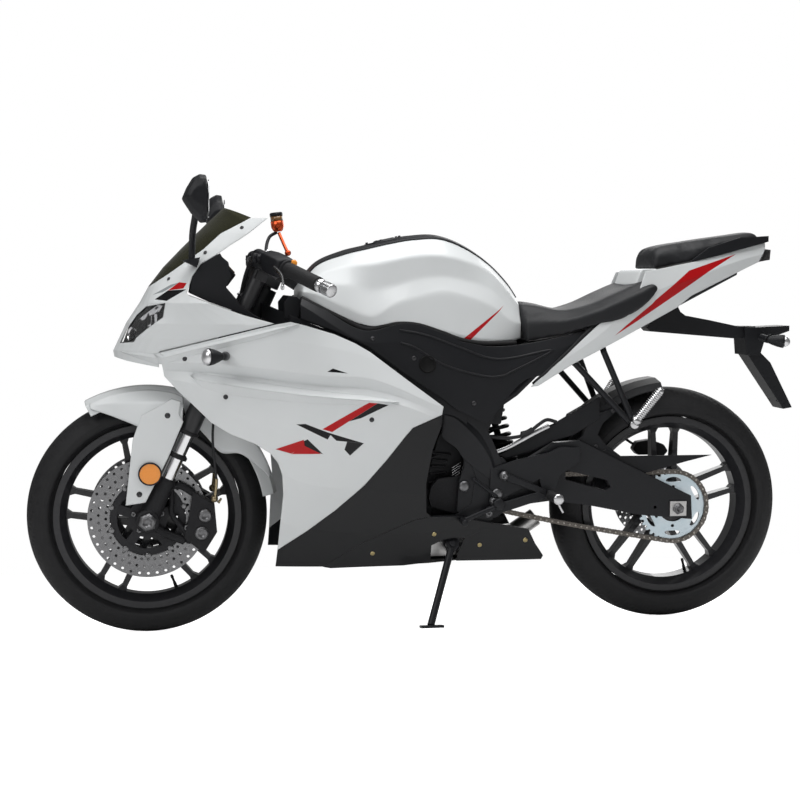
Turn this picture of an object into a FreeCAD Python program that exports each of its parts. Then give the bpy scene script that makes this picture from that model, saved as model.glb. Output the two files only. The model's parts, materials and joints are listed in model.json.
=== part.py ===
import FreeCAD, Part
import math
import os

os.makedirs("parts", exist_ok=True)
Vec = FreeCAD.Vector

# Driving sizes, in millimetres and degrees. The bike is drawn upright with its rear
# axle over x = 0, +X forward, +Y to the left and the ground at z = 0.
wheelbase = 1350.0
lean = 10.5
front_tyre_radius = 298.3
front_tyre_width = 110.0
rear_tyre_radius = 306.9
rear_tyre_width = 140.0
flange_radius = 232.0
bead_seat_radius = 218.6
front_rim_width = 83.0
rear_rim_width = 96.0
rim_wall = 5.0
rim_inner_radius = 200.0
spoke_pairs = 5
spoke_gap = 62.0
spoke_width = 13.0
rake = 24.5
fork_offset = 32.0
leg_spread = 95.0
stanchion_radius = 19.0
slider_radius = 25.0
front_axle_radius = 8.0
front_axle_bore = 5.0
rear_axle_radius = 8.5
front_disc_radius = 147.5
front_disc_band = 43.0
front_disc_offset = 63.0
disc_thickness = 4.5
rear_disc_radius = 110.0
rear_disc_offset = 72.0
chain_pitch = 15.875
chain_line = 86.0
rear_teeth = 36
front_teeth = 13
front_sprocket_x = 556.0
front_sprocket_z = 362.0
pivot_x = 482.0
pivot_z = 356.0
arm_inner = 99.0
arm_width = 24.0
panel_wall = 3.5
running_clearance = 0.05
seat_clearance = 0.3
seam_gap = 0.5
shock_tube_x = 486.0
shock_tube_z = 622.0
plate_x = -330.0
plate_z = 590.0
plate_hole_radius = 3.25
plate_hole_spread = 25.0
spool_x = 60.0
spool_z = 312.0
spool_radius = 4.0
spool_depth = 18.0
stand_foot_x = 668.5
stand_foot_y = 254.0
stand_pivot_x = 598.0
stand_pivot_y = 150.0
stand_pivot_z = 232.0
stand_axis_tilt = 30.0

cos_lean = math.cos(math.radians(lean))
sin_lean = math.sin(math.radians(lean))
cos_rake = math.cos(math.radians(rake))
sin_rake = math.sin(math.radians(rake))

# A leaning tyre touches the ground on its rounded crown, not on its centre line.
front_crown = front_tyre_width / 2 + 3
rear_crown = rear_tyre_width / 2 + 3
front_axle_z = front_tyre_radius - front_crown + front_crown / cos_lean
rear_axle_z = rear_tyre_radius - rear_crown + rear_crown / cos_lean

# The side stand folds about a pivot bolt that leans outwards and up.
stand_tilt = math.radians(stand_axis_tilt)
stand_axis = Vec(0, math.cos(stand_tilt), math.sin(stand_tilt))
stand_pivot = Vec(stand_pivot_x, stand_pivot_y, stand_pivot_z)
knuckle_half = 6.0
stand_bolt_radius = 6.0

nodes = {}


def polygon(points):
    """Closed wire of straight runs through 3-D points."""
    corners = [Vec(*point) for point in points]
    return Part.makePolygon(corners + corners[:1])


def side_plate(outline, y_low, y_high):
    """Extrude an outline of (x, z) points across the bike."""
    face = Part.Face(polygon([(x, y_low, z) for x, z in outline]))
    return face.extrude(Vec(0, y_high - y_low, 0))


def turned(profile, x, z):
    """Turn an outline of (y, radius) points about a cross-wise axle line."""
    face = Part.Face(polygon([(x, y, z + radius) for y, radius in profile]))
    return face.revolve(Vec(x, 0, z), Vec(0, 1, 0), 360)


def rod(start, end, radius):
    """Round bar from one point to another."""
    start, end = Vec(*start), Vec(*end)
    return Part.makeCylinder(radius, (end - start).Length, start, end - start)


def bend_path(points, radius=None):
    """Straight runs joined by tangent arcs; with no radius, each arc fills its runs."""
    corners = [Vec(*point) for point in points]
    edges = []
    last = corners[0]
    for before, corner, after in zip(corners, corners[1:], corners[2:]):
        back = (before - corner).normalize()
        ahead = (after - corner).normalize()
        half_turn = (math.pi - back.getAngle(ahead)) / 2
        shorter = min((before - corner).Length, (after - corner).Length)
        arc_radius = 0.45 * shorter / math.tan(half_turn)
        if radius is not None:
            arc_radius = min(arc_radius, radius)
        reach = arc_radius * math.tan(half_turn)
        enter, leave = corner + back * reach, corner + ahead * reach
        middle = (back + ahead).normalize()
        centre = corner + middle * (arc_radius / math.cos(half_turn))
        edges.append(Part.LineSegment(last, enter).toShape())
        edges.append(Part.Arc(enter, centre - middle * arc_radius, leave).toShape())
        last = leave
    edges.append(Part.LineSegment(last, corners[-1]).toShape())
    return Part.Wire(edges)


def tube(points, radius, bend=None):
    """Round bar or hose along a bent path."""
    path = bend_path(points, bend)
    start = Vec(*points[0])
    ring = Part.Wire(Part.makeCircle(radius, start, Vec(*points[1]) - start))
    return path.makePipeShell([ring], True, False)


def welded_tube(points, radius):
    """Round tube of straight lengths, cut and welded at its corners."""
    path = Part.makePolygon([Vec(*point) for point in points])
    start = Vec(*points[0])
    ring = Part.Wire(Part.makeCircle(radius, start, Vec(*points[1]) - start))
    return path.makePipeShell([ring], True, False, 1)


def box_beam(stations):
    """Beam lofted through stations of centre, half width and half height."""
    wires = []
    for (x, y, z), half_y, half_z in stations:
        corners = ((-1, -1), (1, -1), (1, 1), (-1, 1))
        wires.append(polygon([(x, y + a * half_y, z + b * half_z) for a, b in corners]))
    return Part.makeLoft(wires, True, True)


def panel(stations, wall=panel_wall):
    """Moulded left-hand panel through stations of x and a row of (y, z), top to foot.

    Each row point is carried along the bike by a smooth curve, and neighbouring curves
    carry a ruled strip between them. The wall is measured across the bike."""
    shares = [(x - stations[0][0]) / (stations[-1][0] - stations[0][0]) for x, row in stations]
    lines = []
    for points in zip(*[[Vec(x, y, z) for y, z in row] for x, row in stations]):
        curve = Part.BSplineCurve()
        curve.interpolate(Points=list(points), Parameters=shares)
        lines.append(curve.toShape())
    strips = [Part.makeRuledSurface(upper, lower).extrude(Vec(0, -wall, 0))
              for upper, lower in zip(lines, lines[1:])]
    return joined(strips)


def body(stations):
    """Solid body through stations of x and a left-hand row of (y, z), top to foot."""
    wires = []
    for x, row in stations:
        right = [(-y, z) for y, z in row[::-1] if y > 0]
        wires.append(polygon([(x, y, z) for y, z in row + right]))
    return Part.makeLoft(wires, True, True)


def mirrored(shape):
    """The same piece on the other side of the bike."""
    return shape.mirror(Vec(0, 0, 0), Vec(0, 1, 0))


def both_sides(shape):
    """A left-hand piece with its right-hand twin."""
    return Part.makeCompound([shape, mirrored(shape)])


def joined(shapes):
    """Fuse pieces that touch into one solid."""
    result = shapes[0].fuse(shapes[1:]) if len(shapes) > 1 else shapes[0]
    return result.removeSplitter()


def largest(shape):
    """The biggest solid of a cut piece, without the chips beyond the cut."""
    return max(shape.Solids, key=lambda solid: solid.Volume)


def keep(name, shape):
    """File a finished piece under its name."""
    nodes[name] = shape


# Points measured along the fork: up the leg, across the bike, and forward of the leg.
def fork_point(up, y, ahead=0.0):
    """Point at a height up the fork leg, a side distance and a distance ahead of the leg."""
    x = wheelbase - up * sin_rake + ahead * cos_rake
    z = front_axle_z + up * cos_rake + ahead * sin_rake
    return (x, y, z)


# Tyres: a carcass with a round crown, straight shoulders and beads on the rim.
crown_steps = 6
flange_width = 5.0
flange_slope = 1.0


def tyre(x, z, radius, width, rim_width):
    """Carcass turned from half a crown circle and walls drawn in to the rim's beads."""
    crown = width / 2 + 3
    spread = math.asin((width / 2 - 2) / crown)
    outline = []
    for step in range(crown_steps + 1):
        angle = spread * (1 - 2 * step / crown_steps)
        outline.append((crown * math.sin(angle), radius - crown * (1 - math.cos(angle))))
    bead_y = rim_width / 2 - flange_width - flange_slope - seat_clearance
    wall = [(bead_y, bead_seat_radius + seat_clearance), (bead_y, flange_radius),
            (width / 2, outline[0][1] - 14)]
    other_wall = [(-y, r) for y, r in wall[::-1]]
    return turned(wall + outline + other_wall, x, z)


# Cast wheels: a drop-centre rim, a hub and pairs of near-parallel spokes.
def cast_wheel(x, z, rim_width, hub_profile, axle_radius, first_angle):
    half = rim_width / 2
    outer = [(half, flange_radius), (half - flange_width, flange_radius),
             (half - flange_width - flange_slope, bead_seat_radius)]
    inner = [(half - 26, rim_inner_radius), (half, bead_seat_radius - rim_wall + 2)]
    profile = [(y, r) for y, r in outer] + [(-y, r) for y, r in outer[::-1]]
    profile += [(-y, r) for y, r in inner[::-1]] + [(y, r) for y, r in inner]
    rim = turned(profile, x, z)
    hub = turned(hub_profile, x, z)
    rim_reach = rim_inner_radius + rim_wall / 2
    spokes = []
    for pair in range(spoke_pairs):
        for side in (-1, 1):
            near, far = 16.0, math.sqrt(rim_reach ** 2 - (spoke_gap / 2) ** 2)
            middle = side * spoke_gap / 2
            wires = []
            for reach, offset, width, depth in ((near, middle * 0.75, spoke_width + 5, 40.0),
                                                (far - 14, middle, spoke_width, 26.0),
                                                (far, middle, spoke_width + 12, 34.0)):
                a, b = width / 2, depth / 2
                wires.append(polygon([(x + offset - a, -b, z + reach), (x + offset + a, -b, z + reach),
                                      (x + offset + a, b, z + reach), (x + offset - a, b, z + reach)]))
            spoke = Part.makeLoft(wires, True, True)
            spoke.rotate(Vec(x, 0, z), Vec(0, 1, 0), first_angle + pair * 360.0 / spoke_pairs)
            spokes.append(spoke)
    wheel = joined([hub, rim] + spokes)
    bore = Part.makeCylinder(axle_radius + running_clearance, 400, Vec(x, -200, z), Vec(0, 1, 0))
    return wheel.cut(bore)


def brake_disc(x, z, y, radius, band):
    """Flat ring with rows of drilled holes."""
    ring = turned([(y - disc_thickness / 2, radius - band), (y + disc_thickness / 2, radius - band),
                   (y + disc_thickness / 2, radius), (y - disc_thickness / 2, radius)], x, z)
    return ring


front_hub = [(-front_disc_offset + disc_thickness / 2, 8), (-front_disc_offset + disc_thickness / 2, 48),
             (-front_disc_offset + 10, 48), (-front_disc_offset + 14, 34), (-26, 30), (26, 30),
             (front_disc_offset - 14, 34), (front_disc_offset - 10, 48),
             (front_disc_offset - disc_thickness / 2, 48), (front_disc_offset - disc_thickness / 2, 8)]
rear_hub = [(-rear_disc_offset + disc_thickness / 2, 8), (-rear_disc_offset + disc_thickness / 2, 46),
            (-rear_disc_offset + 10, 46), (-rear_disc_offset + 16, 36), (-28, 34), (28, 34), (40, 62),
            (chain_line - 4, 62), (chain_line - 4, 8)]

keep("front_tyre", tyre(wheelbase, front_axle_z, front_tyre_radius, front_tyre_width, front_rim_width))
keep("rear_tyre", tyre(0, rear_axle_z, rear_tyre_radius, rear_tyre_width, rear_rim_width))
keep("front_rim", cast_wheel(wheelbase, front_axle_z, front_rim_width, front_hub, front_axle_radius, 80.0))
keep("rear_rim", cast_wheel(0, rear_axle_z, rear_rim_width, rear_hub, rear_axle_radius, 0.0))


# Brake discs: a floating band held on a spoked carrier by round bobbins.
def floating_disc(x, z, y, radius, band, hub_radius, arms):
    ring = brake_disc(x, z, y, radius, band)
    inner = radius - band
    carrier = turned([(y - 2.25, hub_radius - 16), (y + 2.25, hub_radius - 16),
                      (y + 2.25, hub_radius + 4), (y - 2.25, hub_radius + 4)], x, z)
    pieces = [carrier]
    for arm in range(arms):
        angle = 360.0 * arm / arms
        bar = Part.makeBox(16, 4.5, inner - hub_radius + 4, Vec(x - 8, y - 2.25, z + hub_radius))
        bar.rotate(Vec(x, 0, z), Vec(0, 1, 0), angle)
        pieces.append(bar)
    return joined([ring] + pieces)


front_disc = floating_disc(wheelbase, front_axle_z, front_disc_offset, front_disc_radius,
                           front_disc_band, 44.0, 10)
keep("front_discs", both_sides(front_disc))
keep("rear_disc", floating_disc(0, rear_axle_z, -rear_disc_offset, rear_disc_radius, 34.0, 42.0, 6))

# Drive chain and sprockets on one chain line.
rear_pitch_radius = chain_pitch / (2 * math.sin(math.pi / rear_teeth))
front_pitch_radius = chain_pitch / (2 * math.sin(math.pi / front_teeth))
roller_radius = 5.08
plate_half_height = 7.0
sprocket_thickness = 5.5


def sprocket(x, z, pitch_radius, hole_radius):
    """Toothed wheel whose teeth end inside the chain's rollers' outer line."""
    tip = pitch_radius - roller_radius - 0.8
    low, high = chain_line - sprocket_thickness / 2, chain_line + sprocket_thickness / 2
    return turned([(low, hole_radius), (high, hole_radius), (high, tip), (low, tip)], x, z)


keep("rear_sprocket", sprocket(0, rear_axle_z, rear_pitch_radius, 40.0))


def chain_loop(grow):
    """Face between two tangent circles, grown outwards from the pitch line."""
    run_x, run_z = front_sprocket_x, front_sprocket_z - rear_axle_z
    distance = math.hypot(run_x, run_z)
    tilt = math.atan2(run_z, run_x)
    spread = math.acos((rear_pitch_radius - front_pitch_radius) / distance)
    rear_r, front_r = rear_pitch_radius + grow, front_pitch_radius + grow

    def on(cx, cz, radius, angle):
        return Vec(cx + radius * math.cos(angle), chain_line, cz + radius * math.sin(angle))

    top_rear = on(0, rear_axle_z, rear_r, tilt + spread)
    top_front = on(front_sprocket_x, front_sprocket_z, front_r, tilt + spread)
    low_front = on(front_sprocket_x, front_sprocket_z, front_r, tilt - spread)
    low_rear = on(0, rear_axle_z, rear_r, tilt - spread)
    edges = [Part.LineSegment(top_rear, top_front).toShape(),
             Part.Arc(top_front, on(front_sprocket_x, front_sprocket_z, front_r, tilt),
                      low_front).toShape(),
             Part.LineSegment(low_front, low_rear).toShape(),
             Part.Arc(low_rear, on(0, rear_axle_z, rear_r, tilt + math.pi), top_rear).toShape()]
    return Part.Face(Part.Wire(edges))


def chain_band(y_low, y_high, half_height):
    """Loop of one side of the chain."""
    outer = chain_loop(half_height).extrude(Vec(0, y_high - y_low, 0))
    inner = chain_loop(-half_height).extrude(Vec(0, y_high - y_low, 0))
    band = outer.cut(inner)
    band.translate(Vec(0, y_low - chain_line, 0))
    return band


chain_inner_half = 3.6
chain_outer_half = 8.5
keep("chain",
     joined([chain_band(chain_line + chain_inner_half, chain_line + chain_outer_half, plate_half_height),
                      chain_band(chain_line - chain_outer_half, chain_line - chain_inner_half,
                                 plate_half_height),
                      chain_band(chain_line - chain_inner_half - 1, chain_line + chain_inner_half + 1,
                                 3.5)]))

# Fork: chrome stanchions in two yokes, with dark shrouds and sliders below them.
lower_yoke_up = 450.0
upper_yoke_up = 660.0
stanchion_foot = 100.0
stanchion_top = 716.0
slider_top = 172.0
yoke_half = 13.0


def yoke(up, thickness):
    """Clamp plate across both legs and the steering stem."""
    plan = [(leg_spread + 25, -20), (leg_spread + 23, 6), (leg_spread - 8, 25), (30, -6 - fork_offset + 24),
            (-30, -6 - fork_offset + 24), (-leg_spread + 8, 25), (-leg_spread - 23, 6),
            (-leg_spread - 25, -20), (-30, -fork_offset - 28), (30, -fork_offset - 28)]
    low = Part.Face(polygon([fork_point(up - thickness / 2, y, a) for y, a in plan]))
    top, base = Vec(*fork_point(1, 0)), Vec(*fork_point(0, 0))
    return low.extrude((top - base) * thickness)


def leg_rod(y, low, high, radius):
    return rod(fork_point(low, y), fork_point(high, y), radius)


fork_upper = joined([yoke(lower_yoke_up, 2 * yoke_half), yoke(upper_yoke_up, 2 * yoke_half - 4)]
                    + [leg_rod(y, stanchion_foot, stanchion_top, stanchion_radius)
                       for y in (-leg_spread, leg_spread)]
                    + [leg_rod(y, 238, lower_yoke_up, stanchion_radius + 5) for y in (-leg_spread,
                                                                                      leg_spread)]
                    + [rod(fork_point(lower_yoke_up, 0, -fork_offset),
                           fork_point(upper_yoke_up, 0, -fork_offset),
                           14)])
keep("fork_upper", fork_upper)


caliper_face = [(108, -72), (44, -90), (-6, -100)]


def slider(side):
    """Lower leg with its axle lug and caliper lugs."""
    y = side * leg_spread
    leg = leg_rod(y, -8, slider_top, slider_radius)
    lug = Part.makeCylinder(29, 2 * slider_radius + 4,
                            Vec(wheelbase, y - slider_radius - 2, front_axle_z), Vec(0, 1, 0))
    bore = leg_rod(y, stanchion_foot - 6, slider_top + 1, stanchion_radius + seat_clearance)
    reach = [fork_xz(up, ahead + seat_clearance) for up, ahead in caliper_face]
    arm = side_plate([fork_xz(40, -6), fork_xz(96, -12)] + reach + [fork_xz(-14, -4)],
                     y - 22 * side - 6, y - 22 * side + 6)
    piece = joined([leg, lug, arm]).cut(bore)
    hole = Part.makeCylinder(front_axle_radius + seat_clearance, 300,
                             Vec(wheelbase, -150, front_axle_z), Vec(0, 1, 0))
    return piece.cut(hole)


def fork_xz(up, ahead):
    """Fork point without its side distance."""
    x, y, z = fork_point(up, 0, ahead)
    return (x, z)


keep("fork_lower", Part.makeCompound([slider(1), slider(-1)]))

axle_half = leg_spread + slider_radius + 8
axle = Part.makeCylinder(front_axle_radius, 2 * axle_half, Vec(wheelbase, -axle_half, front_axle_z),
                         Vec(0, 1, 0))
nut = Part.makeCylinder(13, 5, Vec(wheelbase, axle_half - 5, front_axle_z), Vec(0, 1, 0))
axle_hole = Part.makeCylinder(front_axle_bore, 2 * axle_half + 2,
                              Vec(wheelbase, -axle_half - 1, front_axle_z),
                              Vec(0, 1, 0))
keep("front_axle", joined([axle, nut, mirrored(nut)]).cut(axle_hole))

# Front calipers behind the legs, each straddling its disc.
caliper_rear = [(-22, -160), (40, -168), (100, -134)]
caliper_block = side_plate([fork_xz(up, ahead) for up, ahead in caliper_face + caliper_rear],
                           front_disc_offset - 24, front_disc_offset + 30)
caliper_slot = turned([(front_disc_offset - 6, 60), (front_disc_offset + 6, 60),
                       (front_disc_offset + 6, front_disc_radius + 5),
                       (front_disc_offset - 6, front_disc_radius + 5)],
                      wheelbase, front_axle_z)
keep("front_calipers", both_sides(caliper_block.cut(caliper_slot)))

# Handlebars: low clip-on bars swept back square to the fork, with grips and bar ends.
bar_radius = 11.0
bar_inner = fork_point(706, leg_spread, 37)
bar_outer = fork_point(691, 345, -160)


def along_bar(y):
    """Point on the left bar at a side distance."""
    share = (y - bar_inner[1]) / (bar_outer[1] - bar_inner[1])
    return tuple(a + share * (b - a) for a, b in zip(bar_inner, bar_outer))


clamp = joined([rod(fork_point(690, leg_spread), fork_point(720, leg_spread), 29),
                rod(along_bar(72), along_bar(120), 17)])
clamp = clamp.cut(leg_rod(leg_spread, 600, 800, stanchion_radius))
bar = joined([clamp, rod(along_bar(118), along_bar(326), bar_radius),
              rod(along_bar(200), along_bar(206), 21),
              rod(along_bar(206), along_bar(298), 17), rod(along_bar(300), along_bar(345), 15)])
keep("handlebars", both_sides(bar))

# Hand controls: switch pods, levers and the brake fluid reservoir on its bracket.
pod = rod(along_bar(150), along_bar(196),
          24).cut(rod(along_bar(100), along_bar(240), bar_radius + seat_clearance))


def ahead_of_bar(y, ahead, up=0.0):
    """Point near the left bar, moved forward along the bike and up."""
    x, y, z = along_bar(y)
    return (x + ahead, y, z + up)


lever = joined([tube([ahead_of_bar(150, 40), ahead_of_bar(190, 62), ahead_of_bar(250, 60),
                      ahead_of_bar(318, 56, -6)],
                     5.5, 40), rod(ahead_of_bar(142, 0), ahead_of_bar(150, 44), 12)])
lever = lever.cut(rod(along_bar(100), along_bar(240), bar_radius + seat_clearance))
reservoir = joined([Part.makeCylinder(17, 52, Vec(1006, -226, 1020), Vec(0.12, 0, 1)),
                    tube([(1036, -176, 936), (1022, -204, 985), (1008, -226, 1024)], 6, 20)])
right_lever = joined([mirrored(lever), reservoir]).cut(
    mirrored(rod(along_bar(100), along_bar(240), bar_radius + seat_clearance)))
keep("controls", Part.makeCompound([pod, lever, mirrored(pod), right_lever]))

# Front fender: an arch over the tyre with legs down to the sliders.
fender_gap = 16.0
fender_half = 68.0


def arch(x, z, inner_radius, half_width, start, end, drop, wall=3.0):
    """Curved mudguard around a wheel between two angles, with sloping sides."""
    profile = [(half_width + 2, inner_radius - drop), (half_width - 10, inner_radius + 2),
               (half_width * 0.35, inner_radius + 12), (-half_width * 0.35, inner_radius + 12),
               (-half_width + 10, inner_radius + 2), (-half_width - 2, inner_radius - drop),
               (-half_width - 2 + wall, inner_radius - drop), (-half_width + 10 + wall, inner_radius),
               (-half_width * 0.35, inner_radius + 12 - wall),
               (half_width * 0.35, inner_radius + 12 - wall),
               (half_width - 10 - wall, inner_radius), (half_width + 2 - wall, inner_radius - drop)]
    face = Part.Face(polygon([(x, y, z + r) for y, r in profile]))
    shell = face.revolve(Vec(x, 0, z), Vec(0, 1, 0), end - start)
    shell.rotate(Vec(x, 0, z), Vec(0, 1, 0), start)
    return shell


fender_arch = arch(wheelbase, front_axle_z, front_tyre_radius + fender_gap, fender_half, -80.0, 28.0, 26.0)
fender_leg = side_plate([(1384, 500), (1394, 412), (1402, 341), (1354, 348), (1300, 455), (1262, 545),
                         (1290, 590),
                         (1350, 540)], leg_spread + slider_radius + seat_clearance,
                        leg_spread + slider_radius + 4)
fender_bridge = side_plate([(1384, 500), (1276, 545), (1268, 593), (1290, 600), (1363, 560)],
                           fender_half - 4, leg_spread + slider_radius + 4)
keep("front_fender",
     joined([fender_arch, fender_leg, fender_bridge, mirrored(fender_leg), mirrored(fender_bridge)]))
reflector = Part.makeCylinder(26, 6, Vec(1343, leg_spread + slider_radius + 4 + seat_clearance, 418),
                              Vec(0, 1, 0))
keep("fork_reflectors", both_sides(reflector))

# Front brake hoses, clipped at the lower yoke.
hose_radius = 3.2
hose = tube([(1182, 96, 396), (1186, 104, 440), (1192, 96, 500), (1186, 78, 570), (1190, 52, 640),
             (1182, 34, 690)],
            hose_radius)
keep("brake_hoses", both_sides(hose))

# Swingarm: two box arms, a cross brace at the pivot, axle blocks and the rear axle.
arm_outline = [(pivot_x + 26, pivot_z - 26), (pivot_x + 30, pivot_z + 8), (pivot_x + 6, pivot_z + 34),
               (400, 440), (330, 482), (263, 487), (120, 416), (-36, 341), (-40, 279), (108, 294),
               (236, 320), (337, 334), (440, 322)]
slot_outline = [(300, 412), (300, 388), (195, 358), (180, 366), (190, 384)]
left_arm = side_plate(arm_outline, arm_inner, arm_inner + arm_width).cut(
    side_plate(slot_outline, arm_inner - 1, arm_inner + arm_width + 1))
right_arm = mirrored(side_plate(arm_outline, arm_inner, arm_inner + arm_width))
axle_hole = Part.makeCylinder(rear_axle_radius + seat_clearance, 400, Vec(0, -200, rear_axle_z),
                              Vec(0, 1, 0))
pivot_tube = Part.makeCylinder(22, 2 * arm_inner + 2, Vec(pivot_x, -arm_inner - 1, pivot_z), Vec(0, 1, 0))
brace = side_plate([(372, 408), (440, 388), (440, 352), (372, 352)], -arm_inner, 70)
pivot_hole = Part.makeCylinder(10, 400, Vec(pivot_x, -200, pivot_z), Vec(0, 1, 0))
spool_hole = Part.makeCylinder(spool_radius, spool_depth,
                               Vec(spool_x, arm_inner + arm_width - spool_depth, spool_z),
                               Vec(0, 1, 0))
left_arm = left_arm.cut(spool_hole)
right_arm = right_arm.cut(mirrored(spool_hole))
shock_low = Vec(418, 0, 378)
shock_axis = (Vec(shock_tube_x, 0, shock_tube_z) - shock_low).normalize()
shock_rod_radius = 8.0
shock_socket = Part.makeCylinder(shock_rod_radius + seat_clearance, 60, shock_low - shock_axis, shock_axis)
keep("swingarm",
     joined([left_arm, right_arm, pivot_tube, brace]).cut(axle_hole).cut(pivot_hole).cut(shock_socket))
rear_axle_half = arm_inner + arm_width + 12
rear_axle = Part.makeCylinder(rear_axle_radius, 2 * rear_axle_half, Vec(0, -rear_axle_half, rear_axle_z),
                              Vec(0, 1, 0))
block = side_plate([(-22, rear_axle_z - 19), (22, rear_axle_z - 19), (22, rear_axle_z + 19),
                    (-22, rear_axle_z + 19)], arm_inner + arm_width, arm_inner + arm_width + 6)
keep("rear_axle", joined([rear_axle, block, mirrored(block)]))

# Main frame: head tube, twin spars, pivot plates, cross tubes and the pivot spindle.
spar = box_beam([((1066, 30, 800), 14, 34), ((1000, 96, 770), 14, 34), ((820, 128, 700), 13, 32),
                 ((620, 126, 590), 13, 34), ((560, 124, 545), 13, 34)])
pivot_plate = side_plate([(640, 590), (560, 590), (510, 640), (466, 640), (466, 606), (505, 515),
                          (470, 440),
                          (452, 380), (452, 330), (496, 286),
                          (590, 262), (606, 290), (548, 330), (536, 400), (566, 480), (640, 540)],
                         arm_inner + arm_width + 1, arm_inner + arm_width + 10)
head_tube = rod(fork_point(lower_yoke_up + yoke_half + 6, 0, -fork_offset),
                fork_point(upper_yoke_up - yoke_half - 4, 0, -fork_offset), 30)
stem_hole = rod(fork_point(lower_yoke_up - 50, 0, -fork_offset),
                fork_point(upper_yoke_up + 50, 0, -fork_offset), 17)
tube_half = arm_inner + arm_width + 5
mount_tube_x, mount_tube_z, mount_tube_radius = 580.0, 276.0, 14.0


def cross_tube(x, z, radius):
    return Part.makeCylinder(radius, 2 * tube_half, Vec(x, -tube_half, z), Vec(0, 1, 0))


cross_tubes = [cross_tube(560, 560, 16), cross_tube(shock_tube_x, shock_tube_z, 14),
               cross_tube(mount_tube_x, mount_tube_z, mount_tube_radius)]
stand_plate = side_plate([(552, 275), (584, 222), (604, 206), (624, 240), (606, 290)],
                         arm_inner + arm_width + 1, arm_inner + arm_width + 10)
stand_boss = Part.makeCylinder(11, 30, stand_pivot - stand_axis * (30 + knuckle_half + seat_clearance),
                               stand_axis)
stand_bolt = joined([Part.makeCylinder(stand_bolt_radius, 3.3 * knuckle_half,
                                       stand_pivot - stand_axis * 2 * knuckle_half,
                                       stand_axis),
                     Part.makeCylinder(8, 3, stand_pivot + stand_axis * (knuckle_half + seat_clearance),
                                       stand_axis)])
spindle = Part.makeCylinder(9.9, 2 * (arm_inner + arm_width + 14),
                            Vec(pivot_x, -arm_inner - arm_width - 14, pivot_z),
                            Vec(0, 1, 0))
frame = joined([spar, mirrored(spar), pivot_plate, mirrored(pivot_plate), head_tube, spindle, stand_plate,
                stand_boss, stand_bolt] + cross_tubes)
frame = frame.cut(stem_hole)

# Rear subframe: seat rails and the V stays that carry the passenger pegs.
rail = welded_tube([(600, 100.6, 600), (430, 100.6, 690), (233, 100, 758), (115, 92, 790), (0, 78, 838),
                    (-170, 46, 920)], 11)
stay_rear = welded_tube([(214, 98, 764), (206, 128, 713), (133, 146, 540)], 8)
stay_front = welded_tube([(330, 104, 724), (280, 128, 683), (133, 146, 527)], 8)
lower_stay = welded_tube([(530, 113.7, 545), (430, 103, 610), (300, 102, 735)], 10)
seat_cross = rod((233, -100, 758), (233, 100, 758), 9)
tail_cross = rod((20, -80, 830), (20, 80, 830), 9)
left_side = [rail, stay_rear, stay_front, lower_stay]
subframe = joined(left_side + [mirrored(s) for s in left_side] + [seat_cross, tail_cross])
peg_pivot = Part.makeCylinder(11, 22, Vec(133, 154 + seat_clearance, 530), Vec(0, 1, 0))
passenger_peg = rod((130, 168, 534), (72, 192, 624), 11)
keep("passenger_pegs", both_sides(joined([peg_pivot, passenger_peg])))

# Engine: crankcase with round covers and a finned cylinder leaning forward.
case_half = 70.0
case = side_plate([(520, 300), (560, 250), (780, 238), (830, 290), (820, 380), (740, 420), (600, 425),
                   (530, 400)],
                  -case_half - 20, case_half - 8)
left_cover = Part.makeCylinder(62, 34, Vec(700, case_half - 10, 326), Vec(0, 1, 0))
right_cover = Part.makeCylinder(72, 30, Vec(690, -case_half - 46, 330), Vec(0, 1, 0))
cylinder_tilt = 18.0
core = Part.makeBox(116, 120, 190, Vec(-58, -60, 0))
fins = [Part.makeBox(150, 156, 3.5, Vec(-75, -78, 18 + 12 * i)) for i in range(9)]
head = Part.makeBox(140, 140, 60, Vec(-70, -70, 136))
cylinder = joined([core, head] + fins)
cylinder.rotate(Vec(0, 0, 0), Vec(0, 1, 0), cylinder_tilt)
cylinder.translate(Vec(690, 0, 405))
output_shaft = Part.makeCylinder(12, 40, Vec(front_sprocket_x, case_half - 12, front_sprocket_z),
                                 Vec(0, 1, 0))
small_sprocket = sprocket(front_sprocket_x, front_sprocket_z, front_pitch_radius, 5.0)
mount_hole = Part.makeCylinder(mount_tube_radius + seat_clearance, 400,
                               Vec(mount_tube_x, -200, mount_tube_z),
                               Vec(0, 1, 0))
engine = joined([case, left_cover, right_cover, cylinder, output_shaft, small_sprocket]).cut(mount_hole)
keep("engine", engine)

# Exhaust: a header from the head down to the box under the engine, and its outlet.
header = welded_tube([(806, -20, 545), (880, -24, 520), (920, -34, 440), (905, -44, 330), (830, -50, 225)],
                     19)
muffler_box = side_plate([(430, 196), (850, 190), (850, 232), (430, 228)], -96, 96)
outlet = welded_tube([(470, -62, 215), (390, -66, 222), (330, -66, 262)], 24)
keep("exhaust", joined([header.cut(engine), muffler_box, outlet]))

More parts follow.
